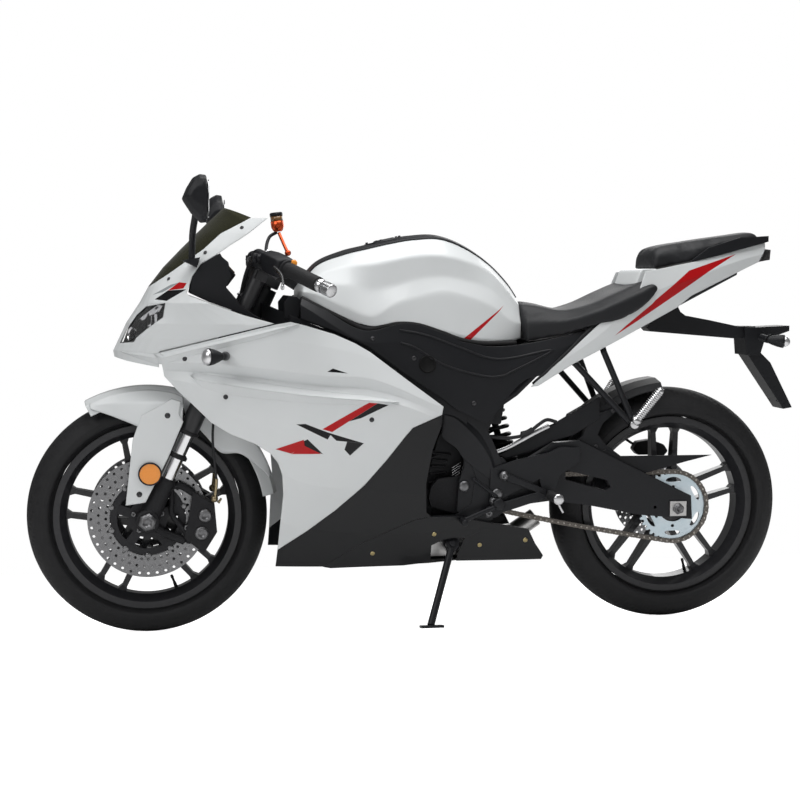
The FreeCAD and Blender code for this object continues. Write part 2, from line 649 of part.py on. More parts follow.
# Rear shock: damper body and corrugated spring between the frame and the swingarm.
shock_high = Vec(shock_tube_x, 0, shock_tube_z)
shock_base = Part.makeCylinder(shock_rod_radius, (shock_high - shock_low).Length, shock_low, shock_axis)
spring_foot, spring_pitch, spring_turns, spring_radius = 44.0, 30.0, 5, 35.0
spring_row = [(0, spring_foot - 6), (24, spring_foot - 6)]
for turn in range(spring_turns):
    rise = spring_foot + spring_pitch * turn
    spring_row += [(spring_radius, rise + spring_pitch / 3), (spring_radius - 9, rise + spring_pitch)]
spring_row += [(0, spring_foot + spring_pitch * spring_turns)]
spring = Part.Face(polygon([(r, 0, h) for r, h in spring_row])).revolve(Vec(0, 0, 0), Vec(0, 0, 1), 360)
spring.rotate(Vec(0, 0, 0), Vec(0, 1, 0), math.degrees(math.atan2(shock_axis.x, shock_axis.z)))
spring.translate(shock_low)
keep("shock", joined([shock_base, spring]).cut(cross_tube(shock_tube_x, shock_tube_z, 14 + seat_clearance)))

# Hugger on the swingarm: an arch over the tyre, a strut down to each arm and the chain guard fin.


def arm_top(x):
    """Height just over the arm's sloping upper edge."""
    (x0, z0), (x1, z1) = ((120, 416), (263, 487)) if x > 120 else ((-36, 341), (120, 416))
    return z0 + (x - x0) * (z1 - z0) / (x1 - x0) + seat_clearance


hugger_arch = arch(0, rear_axle_z, rear_tyre_radius + 16, 82, 6.0, 56.0, 16.0)
strut = side_plate([(262, arm_top(262)), (251, 496), (236, 535), (198, 556), (160, 571), (155, 566),
                    (198, 529),
                    (211, 500), (186, 471), (150, 445), (150, arm_top(150))], 79, 104)
fin = side_plate([(200, arm_top(200)), (190, 462), (151, 444), (-96, 444), (-28, 428), (83, arm_top(83)),
                  (120, arm_top(120))], 101, 106)
keep("hugger", joined([hugger_arch, strut, mirrored(strut), fin]))

# Rider seat and the tank that curves round its nose.
seat_rows = [
    (408, [(0, 842), (70, 832), (112, 790), (118, 741)]),
    (360, [(0, 832), (84, 824), (126, 790), (126, 748)]),
    (301, [(0, 819), (96, 815), (134, 795), (132, 760)]),
    (233, [(0, 832), (100, 828), (140, 808), (134, 779)]),
    (170, [(0, 858), (96, 852), (130, 828), (124, 793)]),
    (115, [(0, 878), (90, 870), (124, 848), (114, 810)]),
    (84, [(0, 886), (84, 880), (106, 866), (100, 826)]),
    (66, [(0, 880), (72, 874), (92, 864), (88, 846)]),
]
keep("rider_seat", body(seat_rows))

tank_rows = [
    (972, [(0, 880), (60, 876), (118, 868), (130, 862), (128, 846)]),
    (930, [(0, 933), (56, 928), (104, 905), (144, 848), (142, 829)]),
    (866, [(0, 962), (62, 955), (108, 924), (152, 824), (146, 792)]),
    (804, [(0, 978), (70, 972), (122, 930), (152, 825), (148, 778)]),
    (745, [(0, 994), (72, 986), (128, 940), (150, 840), (146, 786)]),
    (692, [(0, 1003), (72, 995), (130, 952), (148, 858), (144, 787)]),
    (625, [(0, 1006), (70, 998), (126, 950), (143, 872), (140, 768)]),
    (560, [(0, 986), (62, 976), (110, 932), (135, 860), (132, 746)]),
    (495, [(0, 946), (52, 936), (86, 908), (122, 838), (118, 738)]),
    (444, [(0, 897), (44, 888), (72, 862), (106, 800), (100, 740)]),
    (413, [(0, 852), (38, 846), (60, 830), (88, 786), (84, 746)]),
]
tank = body(tank_rows)
keep("tank", tank)

# Passenger seat, tail and the flat grab rails beside the passenger seat.
tail_edge = [(-247, 995), (-194, 982), (-115, 962), (-37, 943), (41, 928), (99, 917)]


def height_on(line, x):
    """Height of a line of (x, z) points at one place along the bike."""
    for (x0, z0), (x1, z1) in zip(line, line[1:]):
        if x <= x1:
            return z0 + (x - x0) * (z1 - z0) / (x1 - x0)
    return line[-1][1]


def on_tail(x):
    return height_on(tail_edge, x) + seat_clearance


pillion_rows = [
    (76, [(0, 934), (60, 932), (84, 929), (90, on_tail(76))]),
    (60, [(0, 975), (60, 972), (88, 958), (92, on_tail(60))]),
    (-37, [(0, 995), (58, 992), (82, 974), (90, on_tail(-37))]),
    (-150, [(0, 1012), (50, 1009), (68, 1000), (74, on_tail(-150))]),
    (-214, [(0, 1021), (44, 1019), (58, 1012), (64, on_tail(-214))]),
    (-234, [(0, 1016), (42, 1014), (54, 1008), (58, on_tail(-234))]),
]
keep("pillion_seat", body(pillion_rows))

tail_rows = [
    (410, [(149, 650), (151, 634), (149, 615)]),
    (300, [(145, 740), (150, 704), (146, 670)]),
    (200, [(139, 820), (146, 776), (140, 722)]),
    (110, [(124, 925), (134, 850), (126, 768)]),
    (0, [(102, 945), (114, 890), (104, 820)]),
    (-100, [(84, 965), (94, 924), (84, 878)]),
    (-200, [(66, 990), (74, 956), (64, 920)]),
    (-266, [(56, 1002), (62, 970), (54, 936)]),
]
tail_outline = [(400, 627), (231, 778), (117, 868)] + tail_edge[::-1] + [(-246, 979), (-229, 945),
    (-33, 856), (5, 827), (291, 684), (382, 629)]
tail_side = panel(tail_rows).common(side_plate(tail_outline, 20, 200))
tail_end = side_plate([(-180, 975), (-247, 991), (-246, 979), (-229, 945), (-180, 926)], -60, 60).cut(
    side_plate([(-176, 971), (-242, 987), (-226, 949), (-176, 931)], -54, 54))
tail_cowl = joined([tail_side, mirrored(tail_side), tail_end])
keep("tail_cowl", tail_cowl)
lamp_gap = seat_clearance
keep("tail_lamp",
     side_plate([(-246 - lamp_gap, 979), (-264, 977), (-262, 951), (-229 - lamp_gap, 945)], -58, 58))

grab_rows = [(-36, 91, 97, on_tail(-36), 948), (-80, 86.5, 93, on_tail(-80), 980),
             (-132, 79, 86, on_tail(-132), 996), (-171, 73, 80, on_tail(-171), 1008),
             (-195, 69, 77, on_tail(-195), 1008), (-254, 58, 66, 998, 1013)]
grab_side = Part.makeLoft([polygon([(x, inner, low), (x, outer, low), (x, outer, high), (x, inner, high)])
                           for x, inner, outer, low, high in grab_rows], True, True)
grab_back = side_plate([(-238, 996), (-254, 999), (-254, 1013), (-238, 1012)], -62, 62)
keep("grab_rail", joined([grab_side, mirrored(grab_side), grab_back]))

# Plate holder: a curved arm under the tail, a crosspiece and a slotted tongue.
holder_arm = side_plate([(60, 772), (34, 795), (34, 820.7), (4, 820.7), (-24, 828), (-31, 814), (-45, 804),
                         (-112, 792), (-190, 776), (-240, 776), (-236, 744), (-176, 744), (50, 762)], -28,
                        28)
holder_head = side_plate([(-205, 772), (-330, 778), (-330, 764), (-262, 740), (-250, 700), (-212, 700)],
                         -40, 40)
tongue = side_plate([(-212, 710), (-250, 710), (-282, 680), (-346, 560), (-322, 556)], -34, 34)
slot_outline = [(-246, 672), (-262, 690), (-316, 622), (-298, 610)]
plate_normal = Vec(-120, 0, 64).normalize()
plate_bolts = [Part.makeCylinder(plate_hole_radius, 60, Vec(plate_x, y, plate_z) - plate_normal * 40,
                                 plate_normal)
               for y in (-plate_hole_spread, plate_hole_spread)]
for cut in [side_plate(slot_outline, -22, -8), side_plate(slot_outline, 8, 22)] + plate_bolts:
    tongue = tongue.cut(cut)
signal_bar = rod((-262, -84, 748), (-262, 84, 748), 9)
plate_holder = joined([holder_arm, holder_head, tongue, signal_bar])
keep("plate_holder", plate_holder)

rear_signal = Part.makeCone(10, 16, 46, Vec(-262, 88.5, 748), Vec(-0.35, 1, 0))
# Side fairings: creased shells trimmed to the white panel and the black lower cowl.
fairing_rows = [
    (1340,
     [(104, 728), (112, 704), (114, 686), (106, 672), (104, 658), (98, 630), (92, 590), (86, 540),
      (80, 480)]),
    (1240,
     [(156, 756), (166, 724), (172, 690), (154, 668), (166, 642), (164, 600), (158, 550), (150, 480),
      (138, 400)]),
    (1130,
     [(192, 782), (202, 736), (206, 684), (184, 660), (200, 634), (202, 570), (198, 490), (184, 390),
      (160, 270)]),
    (1020,
     [(211, 806), (218, 744), (220, 672), (200, 646), (214, 620), (218, 530), (212, 420), (186, 300),
      (142, 170)]),
    (920,
     [(205, 790), (215, 730), (222, 660), (206, 636), (222, 608), (224, 510), (214, 390), (184, 280),
      (140, 168)]),
    (820,
     [(196, 748), (211, 704), (222, 654), (212, 628), (226, 600), (222, 495), (210, 380), (178, 270),
      (136, 168)]),
    (730,
     [(196, 690), (206, 654), (218, 622), (214, 604), (224, 586), (216, 485), (204, 370), (174, 266),
      (136, 168)]),
    (624,
     [(196, 616), (203, 596), (206, 578), (204, 562), (202, 546), (196, 470), (186, 370), (168, 270),
      (134, 168)]),
    (520,
     [(190, 616), (197, 596), (200, 578), (198, 562), (196, 546), (188, 470), (176, 370), (158, 268),
      (130, 172)]),
]
fairing_skin = panel(fairing_rows)
white_seam = [(637, 564), (711, 534), (733, 509), (774, 457), (828, 395), (897, 333), (966, 280),
              (1036, 231)]
pan_seam = [(656, 308), (699, 301.5), (758, 276.5), (832, 241.5), (923, 183)]


def shifted(points, rise):
    """Outline points moved up or down."""
    return [(x, z + rise) for x, z in points]


white_outline = [(1318, 713), (1189, 747), (1047, 783), (1008, 790), (971, 781), (901, 760), (853, 739),
                 (816, 718),
                 (730, 654), (634, 584)] + white_seam + [(1031, 301), (1025, 374), (1028, 422), (1038, 451),
                                                         (1056, 474),
                 (1092, 497), (1151, 520), (1196, 547), (1237, 587), (1273, 620), (1307, 656)]
black_outline = shifted(white_seam[::-1], -seam_gap) + [(640, 530), (659, 478), (674, 392), (670, 320)]
black_outline += shifted(pan_seam, seam_gap / 2) + [(1040, 187)]
white_panel = fairing_skin.common(side_plate(white_outline, 60, 260))
black_panel = fairing_skin.common(side_plate(black_outline, 60, 260))
front_signal = joined([rod((1168, 180, 711), (1192, 246, 711), 9),
                       Part.makeCone(10, 22, 50, Vec(1188, 240, 711), Vec(0.35, 1, 0))])
front_signal = largest(front_signal.cut(fairing_skin))
keep("signals",
     Part.makeCompound([rear_signal, mirrored(rear_signal), front_signal, mirrored(front_signal)]))
keep("side_fairing_left", white_panel)
keep("side_fairing_right", mirrored(white_panel))

# Belly pan: front cheeks with a hood over the stand, recessed rear walls and a floor.
cheek_outline = shifted(pan_seam[::-1], -seam_gap / 2) + [(590, 306), (533, 293), (529, 284),
                 (529, 265), (548, 256), (571, 248), (593, 251), (623, 246), (652, 232), (652, 187),
                                                          (720, 180),
                 (904, 178)]
wall_rows = [
    (660, [(152, 308), (151, 270), (142, 230), (128, 182)]),
    (520, [(148, 294), (147, 268), (138, 230), (126, 182)]),
    (400, [(140, 270), (140, 250), (136, 220), (124, 182)]),
    (350, [(132, 240), (134, 225), (132, 205), (120, 182)]),
]
wall_outline = [(650, 306), (590, 304.5), (533, 291.5), (476, 281), (400, 266), (381, 228), (357, 194),
                (361, 184),
                (585, 186), (650, 186)]
notch = side_plate([(560, 320), (560, 262), (566, 244), (581, 206), (584, 160), (652, 160), (652, 320)],
                   100, 200)
ledge_rows = [(652, 175.5, 306), (590, 169.5, 305.5), (533, 161.5, 292.5)]
floor_rows = [(900, 141, 180), (730, 139, 182), (656, 138, 184), (582, 124.5, 187), (362, 118.5, 186)]
cheek = fairing_skin.common(side_plate(cheek_outline, 60, 260))
pan_wall = panel(wall_rows).common(side_plate(wall_outline, 60, 260))
ledge = Part.makeLoft([polygon([(x, 140, z), (x, y, z), (x, y, z - 3.5), (x, 140, z - 3.5)]) for x, y,
                       z in ledge_rows],
                      True, True)
pan_floor = Part.makeLoft([polygon([(x, -y, z), (x, y, z), (x, y, z + 3.5), (x, -y, z + 3.5)])
                           for x, y, z in floor_rows], True, True)
belly = joined([cheek, ledge, pan_wall.cut(notch), mirrored(cheek), mirrored(ledge), mirrored(pan_wall),
                pan_floor])
keep("lower_cowl_left", black_panel)
keep("lower_cowl_right", mirrored(black_panel))
keep("belly_pan", belly)

# Side covers over the frame between the tank, the seat and the fairing.
cover_rows = [
    (980, [(150, 850), (166, 830), (168, 790)]),
    (900, [(156, 806), (168, 780), (172, 740)]),
    (820, [(154, 768), (164, 740), (170, 690)]),
    (730, [(148, 785), (158, 740), (168, 640)]),
    (620, [(144, 762), (156, 700), (162, 580)]),
    (520, [(140, 730), (152, 650), (156, 536)]),
    (430, [(136, 732), (148, 690), (150, 634)]),
    (330, [(134, 750), (144, 720), (146, 660)]),
    (236, [(130, 772), (134, 764), (136, 756)]),
]
cover_outline = [(976, 846), (930, 822), (818, 770), (776, 778), (733, 788), (684, 783), (626, 762),
                 (577, 740),
                 (513, 728), (430, 733), (330, 750), (241, 772), (404, 628), (468, 587), (481, 538),
                 (522, 539),
                 (586, 569), (626, 598), (727, 664), (812, 727), (853, 747), (901, 768), (960, 790),
                 (990, 800)]
cover = panel(cover_rows).common(side_plate(cover_outline, 100, 260))
keep("side_covers", both_sides(cover))

# Upper cowl and windscreen: one nose surface in level slices, trimmed in side view.
nose_slices = [
    (664, [(1424, 0), (1400, 34), (1352, 92), (1310, 122), (1290, 134), (1270, 142)]),
    (713, [(1433, 0), (1414, 40), (1364, 96), (1318, 122), (1250, 155), (1180, 178)]),
    (747, [(1417, 0), (1400, 46), (1360, 100), (1312, 132), (1250, 162), (1140, 192)]),
    (783, [(1400, 0), (1384, 56), (1348, 108), (1290, 144), (1200, 182), (1030, 215)]),
    (833, [(1367, 0), (1350, 66), (1316, 120), (1272, 150), (1230, 170), (1140, 192)]),
    (873, [(1345, 0), (1330, 64), (1300, 104), (1262, 136), (1220, 156), (1170, 170)]),
    (920, [(1309, 0), (1294, 64), (1266, 102), (1240, 124), (1216, 142), (1160, 160)]),
    (965, [(1266, 0), (1250, 62), (1220, 104), (1196, 122), (1164, 138), (1110, 150)]),
    (1003, [(1228, 0), (1210, 58), (1180, 100), (1152, 118), (1110, 136), (1070, 146)]),
    (1040, [(1190, 0), (1168, 52), (1136, 90), (1104, 110), (1062, 130), (1040, 138)]),
    (1070, [(1158, 0), (1136, 50), (1104, 84), (1072, 104), (1040, 122), (1020, 130)]),
]


curve_points = 13


def slice_wire(z, row, wall):
    """Closed loop at one height: outer curve, rear edge, inner curve and front edge."""
    outer = [Vec(x, y, z) for x, y in row]
    moved = []
    for index, (x, y) in enumerate(row):
        x0, y0 = row[max(index - 1, 0)]
        x1, y1 = row[min(index + 1, len(row) - 1)]
        length = math.hypot(x1 - x0, y1 - y0)
        moved.append(Vec(x - (y1 - y0) / length * wall, y + (x1 - x0) / length * wall, z))
    moved[0] = Vec(row[0][0] - 1.4 * wall, 0, z)
    outer_curve, inner_curve = Part.BSplineCurve(), Part.BSplineCurve()
    outer_curve.interpolate(outer)
    inner_curve.interpolate(moved)
    loop = outer_curve.discretize(curve_points) + inner_curve.discretize(curve_points)[::-1]
    return Part.makePolygon(loop + loop[:1])


nose_skin = Part.makeLoft([slice_wire(z, row, panel_wall) for z, row in nose_slices], True, True)
screen_seam = [(1350, 874), (1344, 871.5), (1298, 901.5), (1211, 963.5), (1170, 1001.5), (1096, 1040.5)]
cowl_outline = [(1440, 700), (1440, 790), (1400, 830)] + shifted(screen_seam,
    -seam_gap / 2) + [(1057, 1039), (1105, 1000), (1146, 974), (1175, 953), (1219, 926), (1239, 897),
                      (1252, 857),
                (1246, 851), (1200, 834), (1121, 806), (1047, 786), (1189, 750), (1318, 716), (1320, 677),
                      (1400, 690)]
screen_outline = [(1400, 878)] + shifted(screen_seam, seam_gap / 2) + [(1161, 1070), (1240, 1070)]
lamp_outline = [(1416, 732), (1398, 766), (1373, 802), (1350, 823), (1303, 833), (1309, 798), (1326, 786),
                (1350, 768),
                (1374, 747), (1380, 737)]
lamp_cut = side_plate(lamp_outline, 20, 220)
half_cowl = nose_skin.common(side_plate(cowl_outline, -1, 260)).cut(lamp_cut)
keep("upper_cowl", joined([half_cowl, mirrored(half_cowl)]))
half_screen = nose_skin.common(side_plate(screen_outline, -1, 260))
keep("windscreen", joined([half_screen, mirrored(half_screen)]))
lamp_skin = Part.makeLoft([slice_wire(z, [(x - 4.2, y) for x, y in row], 22.0) for z,
                           row in nose_slices[1:6]],
                          True, True)
lamp = lamp_skin.common(side_plate(lamp_outline, 30, 220))
keep("headlamps", both_sides(lamp))

# Cockpit: instrument pod and the dark inner shelf behind the screen.
pod_box = side_plate([(1164, 872), (1142, 905), (1170, 955), (1200, 930), (1196, 880)], -70, 70)
shelf = side_plate([(1190, 905), (1360, 871), (1360, 865), (1190, 897)], -70, 70)
cockpit = joined([pod_box, shelf]).cut(nose_skin).cut(mirrored(nose_skin))
keep("cockpit", largest(cockpit))

# Mirrors on stalks that stand on the cowl's arms.
mirror_foot = side_plate([(1262, 936), (1222, 942), (1232, 915)], 128, 152)
mirror_stalk = tube([(1240, 140, 930), (1240, 170, 970), (1236, 296, 1044)], 7, 30)
mirror_head = Part.makeLoft([polygon([(x, y, z) for x, z in row]) for y, row in (
    (262, [(1216, 1020), (1240, 1036), (1236, 1070), (1212, 1064)]),
    (310, [(1208, 1014), (1264, 1070), (1240, 1120), (1204, 1126)]),
    (352, [(1206, 1036), (1240, 1070), (1228, 1104), (1202, 1118)]))], True, True)
mirror = joined([mirror_foot, mirror_stalk, mirror_head]).cut(half_cowl)
keep("mirrors", both_sides(largest(mirror)))

# Bosses and stays on the frame and subframe that carry the tank, the panels and the cockpit.
boss_radius = 7.0


def seated(start, end, radius, cover):
    """Round post from its foot up to the face of the piece that it carries."""
    pieces = rod(start, end, radius).cut(cover).Solids
    return min(pieces, key=lambda piece: piece.CenterOfMass.distanceToPoint(Vec(*start)))


def side_boss(x, z, y_low, y_high, cover):
    """Left-hand boss out to the inner face of the panel it carries."""
    return seated((x, y_low, z), (x, y_high, z), boss_radius, cover)


fairing_boss = side_boss(830, 690, 136, 230, fairing_skin)
cover_boss = side_boss(680, 645, 134, 180, cover)
pan_boss = side_boss(546, 280, 130, 160, belly)
tank_posts = [seated((820, y, 715), (820, y, 805), 10, tank) for y in (-124, 124)]
tank_posts.append(seated((shock_tube_x, 0, shock_tube_z), (shock_tube_x, 0, shock_tube_z + 140), 12, tank))
cockpit_stay = seated((1108, 0, 806), (1176, 0, 884), 9, cockpit)
side_bosses = [fairing_boss, cover_boss, pan_boss]
frame = joined([frame, cockpit_stay] + tank_posts + side_bosses + [mirrored(boss) for boss in side_bosses])
keep("frame", frame.cut(stem_hole))
tail_boss = side_boss(100, 796, 86, 150, tail_side)
keep("subframe", joined([subframe, tail_boss, mirrored(tail_boss)]))

# Rearsets with folding pegs, gear lever and brake pedal.
bracket_y = arm_inner + arm_width + 10.3
rearset = side_plate([(500, 420), (440, 440), (347, 460), (319, 474), (267, 470), (268, 436), (320, 400),
                      (336, 345),
                      (362, 345), (372, 392), (452, 352), (500, 330)], bracket_y, bracket_y + 7)
peg = rod((347, bracket_y + 6, 352), (340, 222, 352), 11)
spindle_hole = Part.makeCylinder(10 + seat_clearance, 400, Vec(pivot_x, -200, pivot_z), Vec(0, 1, 0))
rearset_left = joined([rearset.cut(spindle_hole), peg])
keep("rearsets", both_sides(rearset_left))

# Rear caliper over the rear disc.
rear_caliper = side_plate([(76, 420), (70, 466), (-34, 466), (-38, 424), (0, 400), (40, 400)],
                          -rear_disc_offset - 22, -rear_disc_offset + 16)
rear_slot = turned([(-rear_disc_offset - 5, 40), (-rear_disc_offset + 5, 40),
                    (-rear_disc_offset + 5, rear_disc_radius + 5),
                    (-rear_disc_offset - 5, rear_disc_radius + 5)],
                   0, rear_axle_z)
bracket_face = seat_clearance - arm_inner
bracket = side_plate([(60, 440), (-30, 440), (-30, 404), (-18, rear_axle_z - 12), (18, rear_axle_z - 12),
                      (40, 404)],
                     bracket_face, bracket_face + 6)
spacer = Part.makeCylinder(15, 24, Vec(0, bracket_face, rear_axle_z), Vec(0, 1, 0))
rear_caliper = joined([rear_caliper.cut(rear_slot), bracket, spacer]).cut(axle_hole)
keep("rear_caliper", rear_caliper)

# Side stand: a leg on a tilted pivot bolt with a flat foot on the ground.
def to_bike(x, y, z):
    """Ground point back into the upright bike's frame."""
    return Vec(x, y * cos_lean - z * sin_lean, y * sin_lean + z * cos_lean)


foot_top = to_bike(stand_foot_x, stand_foot_y - 2, 6)
knuckle = Part.makeCylinder(17, 2 * knuckle_half, stand_pivot - stand_axis * knuckle_half, stand_axis)
leg_start = stand_pivot + (foot_top - stand_pivot).normalize() * 13
leg = Part.makeCylinder(9, (foot_top - leg_start).Length, leg_start, foot_top - leg_start)
foot = Part.makeBox(56, 34, 6, Vec(stand_foot_x - 30, stand_foot_y - 17, 0))
foot.rotate(Vec(0, 0, 0), Vec(1, 0, 0), lean)
bolt_hole = Part.makeCylinder(stand_bolt_radius + running_clearance, 4 * knuckle_half,
                              stand_pivot - stand_axis * 2 * knuckle_half, stand_axis)
keep("side_stand", joined([knuckle, leg, foot]).cut(bolt_hole))

# Lean the whole bike onto its stand and put the origin under the middle of it.
names = sorted(nodes)
for name in names:
    nodes[name] = nodes[name].copy()
    nodes[name].rotate(Vec(0, 0, 0), Vec(1, 0, 0), -lean)
whole = FreeCAD.BoundBox()
for name in names:
    whole.add(nodes[name].optimalBoundingBox(False, False))
for name in names:
    nodes[name].translate(Vec(-whole.Center.x, -whole.Center.y, -whole.ZMin))
    nodes[name].exportStep("parts/" + name + ".step")
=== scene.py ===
import json
import math
import bmesh
import bpy
import numpy as np
from mathutils import Matrix, Vector
from mathutils.bvhtree import BVHTree


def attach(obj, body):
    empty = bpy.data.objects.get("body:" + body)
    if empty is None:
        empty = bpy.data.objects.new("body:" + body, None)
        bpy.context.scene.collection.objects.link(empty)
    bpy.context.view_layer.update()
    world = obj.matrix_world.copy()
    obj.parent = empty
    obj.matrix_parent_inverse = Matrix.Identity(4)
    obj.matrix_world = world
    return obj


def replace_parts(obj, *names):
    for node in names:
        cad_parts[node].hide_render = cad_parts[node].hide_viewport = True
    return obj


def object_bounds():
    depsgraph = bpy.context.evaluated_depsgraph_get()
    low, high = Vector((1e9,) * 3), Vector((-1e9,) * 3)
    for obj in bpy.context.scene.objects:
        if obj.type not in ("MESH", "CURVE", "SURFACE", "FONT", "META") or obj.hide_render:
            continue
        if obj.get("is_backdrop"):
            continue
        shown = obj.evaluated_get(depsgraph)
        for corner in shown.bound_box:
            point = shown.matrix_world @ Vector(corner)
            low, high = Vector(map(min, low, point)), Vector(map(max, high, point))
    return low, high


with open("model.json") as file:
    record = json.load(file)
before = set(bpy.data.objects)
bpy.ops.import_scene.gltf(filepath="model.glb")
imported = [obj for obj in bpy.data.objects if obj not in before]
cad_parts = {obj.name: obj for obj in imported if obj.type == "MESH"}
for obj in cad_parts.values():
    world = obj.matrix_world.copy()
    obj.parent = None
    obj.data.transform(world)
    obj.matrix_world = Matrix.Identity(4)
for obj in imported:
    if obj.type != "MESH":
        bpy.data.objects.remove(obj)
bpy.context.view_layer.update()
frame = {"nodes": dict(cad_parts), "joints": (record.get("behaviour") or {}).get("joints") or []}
nodes = frame["nodes"]

# The stance: the bike leans over its side stand. Its parts are drawn upright in
# millimetres, with the rear axle over x = 0, and leaned here into the frame's metres.
lean = math.radians(10.5)
rear_axle_height = 308.14
front_axle_height = 299.29
wheelbase = 1350.0
rear_axle_place = next(j for j in frame["joints"] if j["name"] == "rear_wheel_spin")["pos_m"]
upright_to_leaning = np.array([[1, 0, 0], [0, math.cos(lean), math.sin(lean)],
                               [0, -math.sin(lean), math.cos(lean)]])
stance_shift = np.array(rear_axle_place) - upright_to_leaning @ np.array([0, 0, rear_axle_height]) / 1000


def stance(points):
    """Upright millimetres to leaning metres: turn about the x axis, divide by 1000, shift."""
    return np.asarray(points, float) @ upright_to_leaning.T / 1000 + stance_shift


# The studio: a camera at the photograph's height and angle, a pale floor that runs up into
# a white room, and three large soft lamps. None of it is part of the bike.
camera = bpy.data.objects.new("camera", bpy.data.cameras.new("camera"))
bpy.context.scene.collection.objects.link(camera)
camera.data.lens = 64.01
camera.data.sensor_width = 36.0
camera_yaw, camera_pitch, camera_roll = math.radians(9.047), math.radians(-5.718), math.radians(-1.301)
ahead = Vector((-math.sin(camera_yaw) * math.cos(camera_pitch),
                -math.cos(camera_yaw) * math.cos(camera_pitch), -math.sin(camera_pitch)))
level_right = ahead.cross(Vector((0, 0, 1))).normalized()
level_up = level_right.cross(ahead)
right = level_right * math.cos(camera_roll) + level_up * math.sin(camera_roll)
upward = level_up * math.cos(camera_roll) - level_right * math.sin(camera_roll)
camera_place = Vector((1.2826, 3.6538, -0.0942)) + Vector(rear_axle_place)
camera_turn = Matrix((right, upward, -ahead)).transposed().to_4x4()
camera.matrix_world = Matrix.Translation(camera_place) @ camera_turn
bpy.context.scene.camera = camera
bpy.context.scene.view_settings.view_transform = "Standard"

world = bpy.data.worlds.new("white_room")
bpy.context.scene.world = world
world.use_nodes = True
room, room_links = world.node_tree.nodes, world.node_tree.links
room_seen = room.new("ShaderNodeLightPath")
seen_or_mirrored = room.new("ShaderNodeMath")
seen_or_mirrored.operation = "MAXIMUM"
room_links.new(room_seen.outputs["Is Camera Ray"], seen_or_mirrored.inputs[0])
room_links.new(room_seen.outputs["Is Transmission Ray"], seen_or_mirrored.inputs[1])
room_level = room.new("ShaderNodeMapRange")
room_level.inputs["To Min"].default_value = 0.2
room_level.inputs["To Max"].default_value = 1.0
room_links.new(seen_or_mirrored.outputs[0], room_level.inputs["Value"])
room["Background"].inputs["Color"].default_value = (1, 1, 1, 1)
room_links.new(room_level.outputs[0], room["Background"].inputs["Strength"])

floor_mesh = bpy.data.meshes.new("floor")
floor_mesh.from_pydata([(-9, -9, 0), (9, -9, 0), (9, 9, 0), (-9, 9, 0)], [], [(0, 1, 2, 3)])
floor = bpy.data.objects.new("floor", floor_mesh)
bpy.context.scene.collection.objects.link(floor)
floor_finish = bpy.data.materials.new("pale_floor")
floor_finish.use_nodes = True
floor_nodes, floor_links = floor_finish.node_tree.nodes, floor_finish.node_tree.links
floor_nodes["Principled BSDF"].inputs["Base Color"].default_value = (0.93, 0.93, 0.93, 1)
floor_nodes["Principled BSDF"].inputs["Roughness"].default_value = 0.6
floor_seen = floor_nodes.new("ShaderNodeLightPath")
floor_glow = floor_nodes.new("ShaderNodeMath")
floor_glow.operation = "MULTIPLY"
floor_glow.inputs[1].default_value = 0.9
floor_links.new(floor_seen.outputs["Is Camera Ray"], floor_glow.inputs[0])
floor_nodes["Principled BSDF"].inputs["Emission Color"].default_value = (1, 1, 1, 1)
floor_links.new(floor_glow.outputs[0], floor_nodes["Principled BSDF"].inputs["Emission Strength"])
floor_mesh.materials.append(floor_finish)
floor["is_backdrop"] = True

for lamp_name, lamp_power, lamp_width, lamp_spot in (("key_lamp", 40, 2.0, (2.4, 2.4, 2.3)),
                                                     ("top_lamp", 78, 2.4, (-0.2, 0.7, 3.0)),
                                                     ("back_lamp", 34, 2.2, (-1.8, -2.4, 2.0))):
    lamp_data = bpy.data.lights.new(lamp_name, "AREA")
    lamp_data.energy = lamp_power
    lamp_data.size = lamp_width
    lamp = bpy.data.objects.new(lamp_name, lamp_data)
    lamp.location = lamp_spot
    lamp.rotation_euler = (Vector((0, 0, 0.5)) - Vector(lamp_spot)).to_track_quat("-Z", "Y").to_euler()
    bpy.context.scene.collection.objects.link(lamp)

# Tyres: moulded black rubber, round in section, with swept sipes pressed into the tread
# and fine ribs on the walls. Each is fitted on its rim and turns with it.
round_steps = 720
sipe_sink = 2.4


def add_piece(name, mesh, body, finish, smooth=True):
    """A mesh becomes a named piece with its finish, riding on its body."""
    piece = bpy.data.objects.new(name, mesh)
    bpy.context.scene.collection.objects.link(piece)
    mesh.materials.append(finish)
    mesh.polygons.foreach_set("use_smooth", np.full(len(mesh.polygons), smooth))
    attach(piece, body)
    return piece


def sheet_faces(rows, columns, close_rows=False, close_columns=False):
    """Quads of a grid of points numbered row by row; a closed way joins its end to its start."""
    r = np.arange(rows if close_rows else rows - 1)
    c = np.arange(columns if close_columns else columns - 1)
    r, c = np.meshgrid(r, c, indexing="ij")
    r2, c2 = (r + 1) % rows, (c + 1) % columns
    quads = np.stack([r * columns + c, r * columns + c2, r2 * columns + c2, r2 * columns + c], -1)
    return quads.reshape(-1, 4)


def mesh_of(name, points, faces):
    """Mesh from an array of points and an array of faces with equal corners."""
    mesh = bpy.data.meshes.new(name)
    points, faces = np.asarray(points, np.float32), np.asarray(faces, np.int32)
    mesh.vertices.add(len(points))
    mesh.vertices.foreach_set("co", points.ravel())
    mesh.loops.add(faces.size)
    mesh.loops.foreach_set("vertex_index", faces.ravel())
    mesh.polygons.add(len(faces))
    mesh.polygons.foreach_set("loop_start", np.arange(len(faces), dtype=np.int32) * faces.shape[1])
    mesh.update(calc_edges=True)
    mesh.validate()
    return mesh


